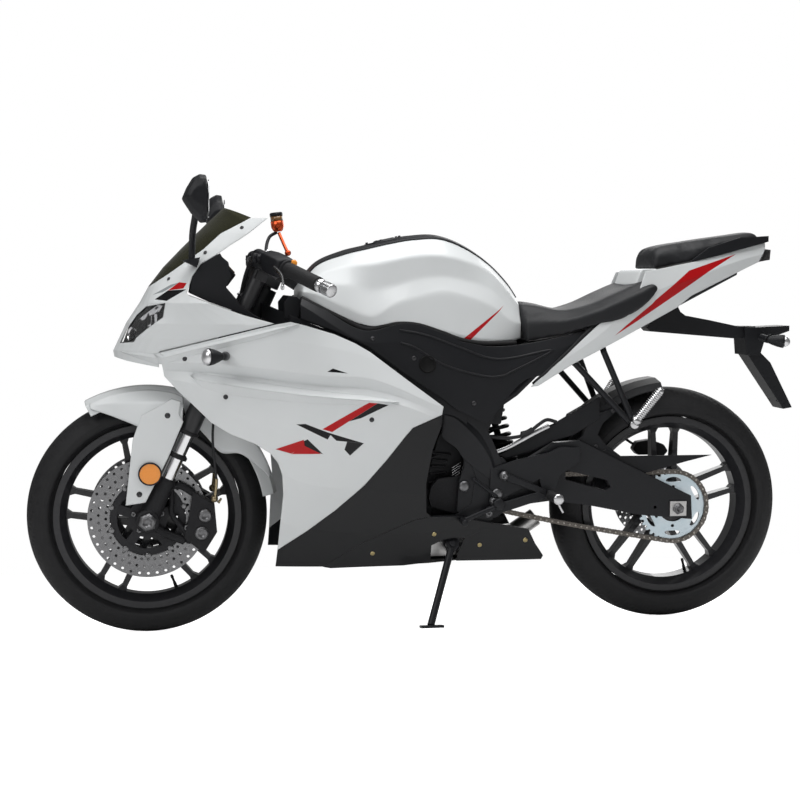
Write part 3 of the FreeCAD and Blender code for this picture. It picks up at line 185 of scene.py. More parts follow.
def smooth_line(points, count):
    """Catmull-Rom curve through the points, at evenly shared parameters: each span is a cubic
    that leaves its ends along the line between their neighbours."""
    p = np.asarray(points, float)
    p = np.concatenate([2 * p[:1] - p[1:2], p, 2 * p[-1:] - p[-2:-1]])
    t = np.linspace(0, len(points) - 1, count)
    i = np.minimum(t.astype(int), len(points) - 2)
    u = (t - i)[:, None] if p.ndim == 2 else (t - i).reshape(-1, *([1] * (p.ndim - 1)))
    a, b, c, d = p[i], p[i + 1], p[i + 2], p[i + 3]
    return 0.5 * (2 * b + (c - a) * u + (2 * a - 5 * b + 4 * c - d) * u ** 2
                  + (3 * b - a - 3 * c + d) * u ** 3)


def tyre_section(radius, width, rim_width):
    """Section of (side, radius): bead, wall curve, then a crown circle, then the same mirrored."""
    crown = width / 2 + 3
    spread = math.asin((width / 2 - 2) / crown)
    angle = np.linspace(spread, 0, 16)
    tread = np.stack([crown * np.sin(angle), radius - crown * (1 - np.cos(angle))], 1)
    bead = rim_width / 2 - 6.5
    shoulder = tread[0, 1]
    wall = smooth_line([(bead, 233.0), (bead + 3, 238.0), (width / 2 - 3, shoulder - 20),
                        (width / 2, shoulder - 7), tuple(tread[0])], 16)
    half = np.concatenate([wall[:-1], tread])
    return np.concatenate([half, half[-2::-1] * [-1, 1]])


def sipe_depth(turn, side, repeats, drift):
    """Depth of the swept sipes: within each repeat round the tyre, a line that runs back with
    the 1.4th power of its distance from the middle, narrowing towards the shoulder."""
    out = np.abs(side)
    place = turn * repeats / (2 * math.pi) + drift * out ** 1.4 + np.where(side > 0, 0.5, 0.0)
    off = np.abs((place + 0.5) % 1 - 0.5)
    width = 0.075 * (1.1 - out)
    long_one = np.clip(1 - off / width, 0, 1) * (out > 0.10) * (out < 0.86)
    off = np.abs(place % 1 - 0.5)
    short_one = np.clip(1 - off / (0.6 * width), 0, 1) * (out > 0.42) * (out < 0.93)
    return np.minimum(1, 2.2 * np.maximum(long_one, short_one))


def tyre_mesh(name, x, z, radius, width, rim_width, repeats):
    """The section swept round the axle, with the sipes sunk into the crown."""
    section = tyre_section(radius, width, rim_width)
    middle = section[:, 1] > radius - 42
    turn = np.linspace(0, 2 * math.pi, round_steps, endpoint=False)
    side = section[:, 0] / (width / 2)
    depth = sipe_depth(turn[:, None], side[None, :], repeats, 1.3) * middle[None, :] * sipe_sink
    ribs = np.where(np.abs(section[:, 1] - 252) < 9, 0.35 * np.cos(section[:, 1] * 2.1), 0)
    r = section[None, :, 1] - depth + ribs[None, :]
    y = np.broadcast_to(section[None, :, 0], r.shape)
    points = np.stack([x + r * np.sin(turn)[:, None], y, z + r * np.cos(turn)[:, None]], -1)
    rows, columns = r.shape
    return mesh_of(name, stance(points.reshape(-1, 3)), sheet_faces(rows, columns, True, True)[:, ::-1])


def new_finish(name, colour, roughness, metallic=0.0, coat=0.0):
    """Node material with its plain sockets set; grain and marks are linked in by each section."""
    finish = bpy.data.materials.new(name)
    finish.use_nodes = True
    skin = finish.node_tree.nodes["Principled BSDF"]
    skin.inputs["Base Color"].default_value = (*colour, 1)
    skin.inputs["Roughness"].default_value = roughness
    skin.inputs["Metallic"].default_value = metallic
    skin.inputs["Coat Weight"].default_value = coat
    skin.inputs["Coat Roughness"].default_value = 0.04
    skin.inputs["Specular IOR Level"].default_value = 0.5 if max(colour) > 0.1 else 0.25
    return finish


def add_grain(finish, colour, shade, scale, bump, rough=None, stretch=(1, 1, 1), detail=4.0):
    """Noise on Object coordinates mixes two shades, tilts the surface a little and, if asked,
    varies the roughness between two levels."""
    nodes_of, links_of = finish.node_tree.nodes, finish.node_tree.links
    skin = nodes_of["Principled BSDF"]
    place = nodes_of.new("ShaderNodeTexCoord")
    spread = nodes_of.new("ShaderNodeMapping")
    spread.inputs["Scale"].default_value = stretch
    noise = nodes_of.new("ShaderNodeTexNoise")
    noise.inputs["Scale"].default_value = scale
    noise.inputs["Detail"].default_value = detail
    shades = nodes_of.new("ShaderNodeMix")
    shades.data_type = "RGBA"
    shades.inputs["A"].default_value = (*colour, 1)
    shades.inputs["B"].default_value = (*shade, 1)
    dents = nodes_of.new("ShaderNodeBump")
    dents.inputs["Strength"].default_value = bump
    dents.inputs["Distance"].default_value = 0.0006
    links_of.new(place.outputs["Object"], spread.inputs["Vector"])
    links_of.new(spread.outputs[0], noise.inputs["Vector"])
    links_of.new(noise.outputs[0], shades.inputs["Factor"])
    links_of.new(shades.outputs["Result"], skin.inputs["Base Color"])
    links_of.new(noise.outputs[0], dents.inputs["Height"])
    links_of.new(dents.outputs[0], skin.inputs["Normal"])
    if rough:
        spans = nodes_of.new("ShaderNodeMapRange")
        spans.inputs["To Min"].default_value, spans.inputs["To Max"].default_value = rough
        links_of.new(noise.outputs[0], spans.inputs["Value"])
        links_of.new(spans.outputs[0], skin.inputs["Roughness"])
    return finish


def soften_edges(finish, radius):
    """The bump's input normal comes from a Bevel node, so sheet and casting edges catch light."""
    nodes_of, links_of = finish.node_tree.nodes, finish.node_tree.links
    edge = nodes_of.new("ShaderNodeBevel")
    edge.samples = 6
    edge.inputs["Radius"].default_value = radius
    dents = next(n for n in nodes_of if n.bl_idname == "ShaderNodeBump")
    links_of.new(edge.outputs[0], dents.inputs["Normal"])
    return finish


tyre_rubber = add_grain(new_finish("tyre_rubber", (0.012, 0.012, 0.013), 0.6), (0.009, 0.009, 0.01),
                        (0.02, 0.02, 0.021), 60, 0.25, (0.5, 0.75))
for end, x, z, radius, width, rim_width, repeats in (
        ("front", wheelbase, front_axle_height, 298.3, 110.0, 83.0, 17),
        ("rear", 0.0, rear_axle_height, 306.9, 140.0, 96.0, 15)):
    tread = tyre_mesh(end + "_tyre_tread", x, z, radius, width, rim_width, repeats)
    tread = add_piece(end + "_tyre_tread", tread, end + "_wheel", tyre_rubber)
    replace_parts(tread, end + "_tyre")

# Wheels: cast alloy, painted satin black. The rims are the frame's own; each gets a valve
# stem, and its hub ends get the dust seals that sit round the axle.
wheel_black = add_grain(new_finish("wheel_black", (0.018, 0.018, 0.02), 0.32, 0.0, 0.35),
                        (0.013, 0.013, 0.015), (0.028, 0.028, 0.031), 90, 0.06, (0.26, 0.42))
soften_edges(wheel_black, 0.003)


def turned_mesh(name, profile, centre, axis=(0, 1, 0), steps=48, closed=False):
    """A profile of (along, radius) swept round an axis through the centre, upright millimetres;
    a radius of 0.01 shuts it on the axis."""
    profile = np.asarray(profile, float)
    axis = np.asarray(axis, float) / np.linalg.norm(axis)
    first = np.cross(axis, [0.31, 0.2, 0.93])
    first /= np.linalg.norm(first)
    second = np.cross(axis, first)
    turn = np.linspace(0, 2 * math.pi, steps, endpoint=False)[:, None, None]
    ring = np.cos(turn) * first + np.sin(turn) * second
    points = np.asarray(centre, float) + profile[None, :, :1] * axis + profile[None, :, 1:] * ring
    faces = sheet_faces(steps, len(profile), True, closed)
    return mesh_of(name, stance(points.reshape(-1, 3)), faces)


def joined_mesh(name, meshes):
    """Several meshes put into one, and the parts removed."""
    points, faces, start = [], [], 0
    for mesh in meshes:
        flat = np.zeros(len(mesh.vertices) * 3, np.float32)
        mesh.vertices.foreach_get("co", flat)
        points.append(flat.reshape(-1, 3))
        faces += [[v + start for v in face.vertices] for face in mesh.polygons]
        start += len(mesh.vertices)
        bpy.data.meshes.remove(mesh)
    whole = bpy.data.meshes.new(name)
    whole.from_pydata(np.concatenate(points).tolist(), [], faces)
    return whole


def add_group(name, meshes, body, finish, smooth=True):
    """Several meshes put into one named piece."""
    return add_piece(name, joined_mesh(name, meshes), body, finish, smooth)


def thicken(piece, thickness, offset=0):
    """A sheet gets its wall, in metres: on both sides, or inward where the offset is -1."""
    wall = piece.modifiers.new("thickness", "SOLIDIFY")
    wall.thickness, wall.offset = thickness, offset


def give_finish(node_names, finish):
    """CAD nodes keep their shapes and take this finish."""
    for node_name in node_names:
        nodes[node_name].data.materials.clear()
        nodes[node_name].data.materials.append(finish)


give_finish(["front_rim", "rear_rim"], wheel_black)
seal_profile = [(0, 9.5), (0, 19), (3, 21), (5, 20), (5, 9.5)]
stem_profile = [(0, 0.01), (0, 4.5), (14, 4.0), (15, 3.2), (28, 3.2), (29, 4.0), (36, 3.6), (37, 0.01)]
valve_turn, valve_radius = math.radians(200), 199
inward = (-math.sin(valve_turn), 0.35, -math.cos(valve_turn))
for body, x, z, half in (("front_wheel", wheelbase, front_axle_height, 61.5),
                         ("rear_wheel", 0.0, rear_axle_height, 70.5)):
    foot = (x + valve_radius * math.sin(valve_turn), 0, z + valve_radius * math.cos(valve_turn))
    add_group(body + "_valve_and_seals",
              [turned_mesh("stem", stem_profile, foot, inward, 20),
               turned_mesh("seal", seal_profile, (x, half, z)),
               turned_mesh("seal", seal_profile, (x, -half, z), (0, -1, 0))], body, tyre_rubber)

# Brake discs: a ground steel band with three rows of drilled holes, held by round bobbins
# on a black spoked carrier that bolts to the hub.
ground_steel = add_grain(new_finish("ground_steel", (0.22, 0.22, 0.225), 0.28, 1.0), (0.16, 0.16, 0.165),
                         (0.27, 0.27, 0.275), 240, 0.10, (0.22, 0.36), (1, 1, 1), 2)
carrier_black = add_grain(new_finish("carrier_black", (0.02, 0.02, 0.022), 0.4, 0.2), (0.016, 0.016, 0.018),
                          (0.03, 0.03, 0.033), 150, 0.08, (0.35, 0.5))


def holed_ring(inner, outer, cells, half_turn, half_rise, offset=0.0, sides=4):
    """Flat ring of equal cells, each with a hole: a cell's square edge and the hole's ellipse are
    sampled at the same angles and joined by two rows of quads. Returns (turn, radius) and faces."""
    walk = np.linspace(0, 2 * math.pi, 8 * sides, endpoint=False) + math.pi / 4
    box = np.stack([np.cos(walk), np.sin(walk)], 1)
    box /= np.abs(box).max(1)[:, None]
    hole = np.stack([np.cos(walk), np.sin(walk)], 1)
    middle, half_width = (inner + outer) / 2, math.pi / cells
    edge = np.stack([box[:, 0] * half_width, middle + box[:, 1] * (outer - inner) / 2], 1)
    rim = np.stack([hole[:, 0] * half_turn, middle + hole[:, 1] * half_rise], 1)
    cell = np.stack([edge, (edge + 2 * rim) / 3, rim])
    spots = (np.arange(cells) * 2 + offset) * half_width
    points = np.broadcast_to(cell, (cells, *cell.shape)).copy()
    points[..., 0] += spots[:, None, None]
    faces = sheet_faces(3, cell.shape[1], False, True)
    faces = (faces[None] + (np.arange(cells) * cell.shape[0] * cell.shape[1])[:, None, None]).reshape(-1, 4)
    return points.reshape(-1, 2), faces


def flat_plate(name, rings, x, z, y, thickness, finish, body):
    """Rings of (turn, radius) laid on a plane across the axle and thickened by Solidify."""
    points, faces, start = [], [], 0
    for ring_points, ring_faces in rings:
        points.append(ring_points)
        faces.append(ring_faces + start)
        start += len(ring_points)
    flat = np.concatenate(points)
    turn, reach = flat.T
    places = np.stack([x + reach * np.sin(turn), np.full(len(flat), y), z + reach * np.cos(turn)], 1)
    mesh = mesh_of(name, stance(places), np.concatenate(faces))
    piece = add_piece(name, mesh, body, finish, False)
    weld = piece.modifiers.new("weld", "WELD")
    weld.merge_threshold = 0.00005
    thicken(piece, thickness / 1000)
    return piece


def star_ring(inner, waist, tip, arms, share):
    """Flat ring whose outer edge rises to the tip at each arm: a smoothed square wave of the turn."""
    turn = np.linspace(0, 2 * math.pi, arms * 16, endpoint=False)
    wave = np.clip((np.cos(turn * arms) - math.cos(math.pi * share)) * 6 + 0.5, 0, 1)
    outer = waist + (tip - waist) * wave
    radii = (np.full_like(turn, inner), np.full_like(turn, (inner + waist) / 2), outer)
    points = np.stack([np.stack([turn, radius], 1) for radius in radii])
    return points.reshape(-1, 2), sheet_faces(3, len(turn), False, True)


bobbin = [(-3.6, 0.01), (-3.6, 5.5), (-2.6, 7.5), (2.6, 7.5), (3.6, 5.5), (3.6, 0.01)]
bolt_head = [(0, 0.01), (0, 7), (4, 7), (5, 5.5), (5, 3), (2.5, 3), (2.5, 0.01)]
hole_radius, hole_rows = 3.6, 3
disc_jobs = [
    ("front_disc_left", wheelbase, front_axle_height, 63.0, 147.5, 54.0, 48.0, 10, 40, "front_wheel",
     "front_discs"),
    ("front_disc_right", wheelbase, front_axle_height, -63.0, 147.5, 54.0, 48.0, 10, 40, "front_wheel",
     "front_discs"),
    ("rear_disc_ring", 0.0, rear_axle_height, -72.0, 110.0, 34.0, 46.0, 6, 30, "rear_wheel", "rear_disc")]
for name, x, z, y, radius, band, hub, arms, holes, body, node_name in disc_jobs:
    inner, row, outward = radius - band, band / hole_rows, math.copysign(1, y)
    rows = [holed_ring(inner + row * k, inner + row * (k + 1), holes,
                       hole_radius / (inner + row * (k + 0.5)),
                       hole_radius, float(k == 1)) for k in range(hole_rows)]
    ring = flat_plate(name, rows, x, z, y, 4.4, ground_steel, body)
    stars = [star_ring(22, hub, inner - 17, arms // 2, 0.3),
             star_ring(inner - 18, inner - 2, inner + 3, arms, 0.3)]
    flat_plate(name + "_carrier", stars, x, z, y, 5.4, carrier_black, body)
    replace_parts(ring, node_name)
    turn = np.arange(arms) * 2 * math.pi / arms
    fasteners = []
    for profile, turns, out, up, axis, corners in (
            (bobbin, turn, inner, 0, (0, 1, 0), 18),
            (bolt_head, turn[::2], hub - 12, 2 * outward, (0, outward, 0), 6)):
        fasteners += [turned_mesh("fastener", profile, (x + out * math.sin(t), y + up, z + out * math.cos(t)),
                                  axis, corners) for t in turns]
    add_group(name + "_bobbins", fasteners, body, ground_steel)

# Final drive: a zinc-plated sprocket with 36 teeth and slots, and a roller chain of riveted
# links, black inner plates and paler rollers, round both sprockets.
chain_pitch, chain_line, rear_teeth, front_teeth = 15.875, 86.0, 36, 13
front_sprocket_x, front_sprocket_z = 556.0, 362.0
roller_radius, plate_gap, chain_sag = 5.08, 3.7, 5
zinc = add_grain(new_finish("zinc_plate", (0.6, 0.7, 0.75), 0.3, 0.9), (0.46, 0.58, 0.64),
                 (0.72, 0.78, 0.82), 35, 0.12, (0.24, 0.42))
chain_steel = add_grain(new_finish("chain_steel", (0.12, 0.11, 0.10), 0.38, 0.85), (0.06, 0.055, 0.05),
                        (0.22, 0.2, 0.18), 300, 0.15, (0.3, 0.5))
roller_steel = add_grain(new_finish("roller_steel", (0.5, 0.47, 0.42), 0.3, 0.95), (0.36, 0.33, 0.3),
                         (0.6, 0.57, 0.52), 300, 0.1, (0.24, 0.4))


def toothed_ring(teeth, root, tip, inner):
    """Flat ring whose outer edge follows the teeth: root, then flanks up to a narrow tip."""
    turn = np.linspace(0, 2 * math.pi, teeth * 12, endpoint=False)
    phase = np.abs((turn * teeth / (2 * math.pi)) % 1 - 0.5) * 2
    outer = root + (tip - root) * np.clip((phase - 0.34) / 0.42, 0, 1) ** 0.8
    points = np.stack([np.stack([turn, radius], 1) for radius in (np.full_like(turn, inner), outer)])
    return points.reshape(-1, 2), sheet_faces(2, len(turn), False, True)


rear_pitch_radius = chain_pitch / (2 * math.sin(math.pi / rear_teeth))
front_pitch_radius = chain_pitch / (2 * math.sin(math.pi / front_teeth))
for name, x, z, pitch_radius, teeth, body, finish in (
        ("rear_sprocket_teeth", 0.0, rear_axle_height, rear_pitch_radius, rear_teeth, "rear_wheel", zinc),
        ("front_sprocket_teeth", front_sprocket_x, front_sprocket_z, front_pitch_radius, front_teeth,
         "chassis", chain_steel)):
    web = pitch_radius - 12
    rings = [toothed_ring(teeth, pitch_radius - roller_radius - 0.4, pitch_radius + 2.6, web)]
    if teeth == rear_teeth:
        rings += [holed_ring(62, web, 6, 0.30, 6.5, 0.0, 8), holed_ring(40, 62, 6, 0.09, 4.2, 0.0, 8)]
    else:
        rings += [star_ring(10, web, web, 4, 0.5)]
    plate = flat_plate(name, rings, x, z, chain_line, 5.0, finish, body)
    if teeth == rear_teeth:
        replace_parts(plate, "rear_sprocket")

run_x, run_z = front_sprocket_x, front_sprocket_z - rear_axle_height
centre_distance, run_tilt = math.hypot(run_x, run_z), math.atan2(run_z, run_x)
wrap = math.acos((rear_pitch_radius - front_pitch_radius) / centre_distance)
straight = centre_distance * math.sin(wrap)
rear_arc, front_arc = rear_pitch_radius * 2 * (math.pi - wrap), front_pitch_radius * 2 * wrap
loop_length = 2 * straight + rear_arc + front_arc
link_count = 2 * round(loop_length / chain_pitch / 2)


def chain_place(along):
    """Point (x, z) on the loop at a length along it: top run forward, front arc, low run, rear arc."""
    s = np.asarray(along) % loop_length
    top_angle, low_angle = run_tilt + wrap, run_tilt - wrap
    top_way = np.array([math.cos(top_angle), math.sin(top_angle)])
    low_way = np.array([math.cos(low_angle), math.sin(low_angle)])
    rear_centre, front_centre = np.array([0, rear_axle_height]), np.array([run_x, front_sprocket_z])
    start, low_end = (rear_centre + rear_pitch_radius * way for way in (top_way, low_way))
    end, low_start = (front_centre + front_pitch_radius * way for way in (top_way, low_way))
    share = np.clip(s / straight, 0, 1)[:, None]
    top = start + (end - start) * share
    turn = top_angle - (s - straight) / front_pitch_radius
    front = front_centre + front_pitch_radius * np.stack([np.cos(turn), np.sin(turn)], 1)
    share = np.clip((s - straight - front_arc) / straight, 0, 1)[:, None]
    low = low_start + (low_end - low_start) * share - np.sin(share * math.pi) * chain_sag * [0, 1]
    turn = low_angle - (s - 2 * straight - front_arc) / rear_pitch_radius
    rear = rear_centre + rear_pitch_radius * np.stack([np.cos(turn), np.sin(turn)], 1)
    part = np.select([s < straight, s < straight + front_arc, s < 2 * straight + front_arc], [0, 1, 2], 3)
    return np.choose(part[:, None], [top, front, low, rear])


tooth_turn = 2 * math.pi / rear_teeth
tooth_phase = (run_tilt - wrap - 1.5 * math.pi) % tooth_turn
first_pin = 2 * straight + front_arc + rear_pitch_radius * tooth_phase
pins = chain_place(first_pin + np.arange(link_count) * loop_length / link_count)
steps = np.roll(pins, -1, 0) - pins
link_turn = np.arctan2(steps[:, 1], steps[:, 0])
plate_walk = np.linspace(0, 2 * math.pi, 20, endpoint=False)
plate_reach = np.cos(plate_walk)
plate_edge = np.stack([chain_pitch / 2 + plate_reach * (chain_pitch / 2 + 6.6),
                       np.sin(plate_walk) * (6.9 - 1.6 * np.exp(-(plate_reach / 0.28) ** 2))], 1)
plate_sides = []
for side in (-1, 1):
    for links, shift in ((slice(0, None, 2), plate_gap + 1.0), (slice(1, None, 2), plate_gap + 2.9)):
        cos_t, sin_t = np.cos(link_turn[links])[:, None], np.sin(link_turn[links])[:, None]
        x = pins[links, :1] + plate_edge[None, :, 0] * cos_t - plate_edge[None, :, 1] * sin_t
        z = pins[links, 1:] + plate_edge[None, :, 0] * sin_t + plate_edge[None, :, 1] * cos_t
        for y in (chain_line + side * (shift - 0.8), chain_line + side * (shift + 0.8)):
            plate_sides.append(np.stack([x, np.full_like(x, y), z], -1))
chain_points, chain_faces, start = [], [], 0
corner_count = len(plate_walk)
for near, far in zip(plate_sides[::2], plate_sides[1::2]):
    count = len(near)
    chain_points += [near.reshape(-1, 3), far.reshape(-1, 3)]
    k = np.arange(corner_count)
    next_k, across = (k + 1) % corner_count, count * corner_count
    walls = np.stack([k, next_k, next_k + across, k + across], 1)
    low, high = k[:corner_count // 2 - 1], k[1:corner_count // 2]
    fan = np.stack([low, high, corner_count - 1 - high, corner_count - 1 - low], 1)
    faces = np.concatenate([walls, fan[:, ::-1], fan + across])
    of_each_link = (np.arange(count) * corner_count)[:, None, None]
    chain_faces.append((faces[None] + of_each_link).reshape(-1, 4) + start)
    start += 2 * count * corner_count
links_mesh = mesh_of("chain_links", stance(np.concatenate(chain_points)), np.concatenate(chain_faces))
links_piece = add_piece("chain_links", links_mesh, "chassis", chain_steel, False)
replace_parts(links_piece, "chain")
pin_profile = np.array([(-8.6, 0.01), (-8.4, 2.4), (-6.4, 2.6), (-6.3, 0.02), (-3.5, 0.02), (-3.4, 5.0),
                        (3.4, 5.0), (3.5, 0.02), (6.3, 0.02), (6.4, 2.6), (8.4, 2.4), (8.6, 0.01)])
pin_sides, profile_count = 12, len(pin_profile)
pin_turn = np.linspace(0, 2 * math.pi, pin_sides, endpoint=False)
x = pins[:, None, None, 0] + pin_profile[None, None, :, 1] * np.cos(pin_turn)[None, :, None]
z = pins[:, None, None, 1] + pin_profile[None, None, :, 1] * np.sin(pin_turn)[None, :, None]
y = np.broadcast_to(chain_line + pin_profile[None, None, :, 0], x.shape)
of_each_pin = (np.arange(link_count) * pin_sides * profile_count)[:, None, None]
pin_faces = (sheet_faces(pin_sides, profile_count, True, False)[None] + of_each_pin).reshape(-1, 4)
rollers = mesh_of("chain_rollers", stance(np.stack([x, y, z], -1).reshape(-1, 3)), pin_faces)
add_piece("chain_rollers", rollers, "chassis", roller_steel)

# Body panels: injection-moulded white plastic under clear gloss lacquer. The red and black
# flashes are plain shapes under the lacquer, the same on both sides.
stripe_red, stripe_black, stripe_grey = (0.42, 0.004, 0.006), (0.005, 0.005, 0.006), (0.26, 0.28, 0.29)


def add_flashes(finish, flashes):
    """Each flash is a convex outline of upright (x, z) millimetres: the least of the distances
    inside its edges, as a soft step, mixes its colour over what lies under it."""
    nodes_of, links_of = finish.node_tree.nodes, finish.node_tree.links
    skin = nodes_of["Principled BSDF"]
    under = skin.inputs["Base Color"].links[0].from_socket
    place = nodes_of.new("ShaderNodeTexCoord").outputs["Object"]
    for colour, outline in flashes:
        corners = np.array(outline, float)
        swing = np.cross(corners - corners.mean(0), np.roll(corners, -1, 0) - corners.mean(0)).sum()
        inside = None
        for (x0, z0), (x1, z1) in zip(corners, np.roll(corners, -1, 0)):
            length = math.copysign(math.hypot(x1 - x0, z1 - z0), swing)
            normal = upright_to_leaning @ np.array([-(z1 - z0) / length, 0, (x1 - x0) / length])
            dot = nodes_of.new("ShaderNodeVectorMath")
            dot.operation = "DOT_PRODUCT"
            dot.inputs[1].default_value = normal
            links_of.new(place, dot.inputs[0])
            edge = nodes_of.new("ShaderNodeMath")
            edge.operation = "SUBTRACT"
            edge.inputs[1].default_value = float(normal @ stance([x0, 0, z0]))
            links_of.new(dot.outputs["Value"], edge.inputs[0])
            if inside is None:
                inside = edge.outputs[0]
            else:
                least = nodes_of.new("ShaderNodeMath")
                least.operation = "MINIMUM"
                links_of.new(inside, least.inputs[0])
                links_of.new(edge.outputs[0], least.inputs[1])
                inside = least.outputs[0]
        step = nodes_of.new("ShaderNodeMapRange")
        step.inputs["From Min"].default_value, step.inputs["From Max"].default_value = -0.0003, 0.0003
        links_of.new(inside, step.inputs["Value"])
        over = nodes_of.new("ShaderNodeMix")
        over.data_type = "RGBA"
        over.inputs["B"].default_value = (*colour, 1)
        links_of.new(step.outputs[0], over.inputs["Factor"])
        links_of.new(under, over.inputs["A"])
        under = over.outputs["Result"]
    links_of.new(under, skin.inputs["Base Color"])
    return finish


def white_lacquer(name):
    """Gloss white, with a low specular level so that the flashes under it keep their depth."""
    finish = add_grain(new_finish(name, (0.65, 0.67, 0.675), 0.26, 0.0, 0.12), (0.64, 0.662, 0.667),
                       (0.675, 0.692, 0.697), 9, 0.05)
    soften_edges(finish, 0.005)
    finish.node_tree.nodes["Principled BSDF"].inputs["Specular IOR Level"].default_value = 0.22
    return finish


fairing_flashes = [(stripe_red, [(933, 533), (820, 597), (799, 595), (909, 526)]),
                   (stripe_black, [(909, 526), (799, 595), (740, 585), (839, 559)]),
                   (stripe_black, [(995, 545), (973, 546), (911, 522), (920, 508)]),
                   (stripe_black, [(919, 525), (832, 498), (899, 505)]),
                   (stripe_black, [(832, 498), (891, 445), (879, 483), (899, 505)]),
                   (stripe_black, [(968, 509), (930, 472), (977, 488), (977, 505)]),
                   (stripe_red, [(1045, 485), (977, 508), (975, 492), (1007, 474)]),
                   (stripe_red, [(977, 494), (935, 473), (1007, 473)]),
                   (stripe_black, [(921, 671), (907, 679), (871, 667)])]
fairing_white = add_flashes(white_lacquer("fairing_white"), fairing_flashes)
give_finish(["side_fairing_left", "side_fairing_right"], fairing_white)
nose_flashes = [(stripe_grey, [(1334, 852), (1290, 877), (1270, 882), (1309, 859)]),
                (stripe_black, [(1329, 841), (1297, 863), (1253, 866), (1300, 838)]),
                (stripe_red, [(1297, 863), (1270, 883), (1252, 881), (1260, 868)])]
give_finish(["upper_cowl"], add_flashes(white_lacquer("nose_white"), nose_flashes))
tail_flashes = [(stripe_red, [(182, 755), (152, 780), (60, 851), (51, 836), (122, 791)]),
                (stripe_red, [(122, 791), (71, 845), (-25, 921), (5, 864)]),
                (stripe_red, [(60, 851), (-25, 921), (-80, 919), (5, 864)]),
                (stripe_red, [(-5, 900), (-25, 921), (-161, 965), (-80, 919)])]
give_finish(["tail_cowl"], add_flashes(white_lacquer("tail_white"), tail_flashes))
give_finish(["front_fender"], white_lacquer("fender_white"))

# Lower cowls and belly pan: the same moulding in black, glossy but finely grained; the side
# covers, hugger, plate holder and grab rail are plain black plastic with a satin grain.
cowl_black = add_grain(new_finish("cowl_black", (0.006, 0.0063, 0.0072), 0.3, 0.0, 0.12),
                       (0.005, 0.0053, 0.006), (0.009, 0.0094, 0.0108), 700, 0.10, (0.26, 0.4))
satin_black = add_grain(new_finish("satin_black", (0.008, 0.0085, 0.0102), 0.4), (0.006, 0.0065, 0.008),
                        (0.012, 0.0125, 0.0148), 900, 0.16, (0.38, 0.52))
soften_edges(cowl_black, 0.004)
soften_edges(satin_black, 0.003)
give_finish(["lower_cowl_left", "lower_cowl_right", "belly_pan"], cowl_black)
give_finish(["side_covers", "hugger", "plate_holder", "grab_rail", "cockpit"], satin_black)

# Frame, subframe, swingarm, engine, stand and foot controls: steel and cast alloy in black
# powder coat; castings are rougher than the tubes. Axles and exhaust are bare brushed steel.
powder_black = add_grain(new_finish("powder_black", (0.011, 0.0115, 0.0135), 0.36, 0.1),
                         (0.009, 0.0095, 0.011), (0.018, 0.0185, 0.021), 420, 0.14, (0.3, 0.46))
cast_black = add_grain(new_finish("cast_black", (0.014, 0.014, 0.0155), 0.5, 0.35), (0.01, 0.01, 0.011),
                       (0.026, 0.026, 0.0285), 260, 0.35, (0.42, 0.62))
soften_edges(powder_black, 0.002)
soften_edges(cast_black, 0.0025)
give_finish(["frame", "subframe", "swingarm", "side_stand", "rearsets"], powder_black)
give_finish(["engine", "front_calipers"], cast_black)
brushed_steel = add_grain(new_finish("brushed_steel", (0.5, 0.5, 0.5), 0.3, 1.0), (0.4, 0.4, 0.4),
                          (0.62, 0.61, 0.6), 160, 0.12, (0.24, 0.42), (1, 8, 1))
give_finish(["exhaust", "rear_axle", "front_axle"], brushed_steel)

# Fork: hard-chromed stanchions in black yokes, with black shrouds above the bare length.
rake, shroud_start, leg_side = math.radians(24.5), 232, 95
fork_up = np.array([-math.sin(rake), 0, math.cos(rake)])
fork_chrome = add_grain(new_finish("fork_chrome", (0.8, 0.8, 0.81), 0.08, 1.0), (0.75, 0.75, 0.76),
                        (0.86, 0.86, 0.87), 30, 0.02, (0.06, 0.12))


def black_above(finish, height, black):
    """A mark across the fork: past a height up the legs, the surface is black and not metal."""
    nodes_of, links_of = finish.node_tree.nodes, finish.node_tree.links
    skin = nodes_of["Principled BSDF"]
    normal = upright_to_leaning @ fork_up
    dot = nodes_of.new("ShaderNodeVectorMath")
    dot.operation = "DOT_PRODUCT"
    dot.inputs[1].default_value = normal
    links_of.new(nodes_of.new("ShaderNodeTexCoord").outputs["Object"], dot.inputs[0])
    base = float(normal @ stance(np.array([wheelbase, 0, front_axle_height]) + fork_up * height))
    past = nodes_of.new("ShaderNodeMath")
    past.operation = "GREATER_THAN"
    past.inputs[1].default_value = base
    links_of.new(dot.outputs["Value"], past.inputs[0])
    over = nodes_of.new("ShaderNodeMix")
    over.data_type = "RGBA"
    over.inputs["B"].default_value = (*black, 1)
    links_of.new(past.outputs[0], over.inputs["Factor"])
    links_of.new(skin.inputs["Base Color"].links[0].from_socket, over.inputs["A"])
    links_of.new(over.outputs["Result"], skin.inputs["Base Color"])
    bare = nodes_of.new("ShaderNodeMath")
    bare.operation = "SUBTRACT"
    bare.inputs[0].default_value = 1.0
    links_of.new(past.outputs[0], bare.inputs[1])
    links_of.new(bare.outputs[0], skin.inputs["Metallic"])
    rough = nodes_of.new("ShaderNodeMapRange")
    rough.inputs["To Min"].default_value, rough.inputs["To Max"].default_value = 0.08, 0.4
    links_of.new(past.outputs[0], rough.inputs["Value"])
    links_of.new(rough.outputs[0], skin.inputs["Roughness"])
    return finish


give_finish(["fork_upper"], black_above(fork_chrome, shroud_start, (0.018, 0.018, 0.02)))
hose_rubber = add_grain(new_finish("hose_rubber", (0.02, 0.02, 0.022), 0.5), (0.016, 0.016, 0.018),
                        (0.03, 0.03, 0.032), 500, 0.15, (0.42, 0.58))
give_finish(["brake_hoses"], hose_rubber)

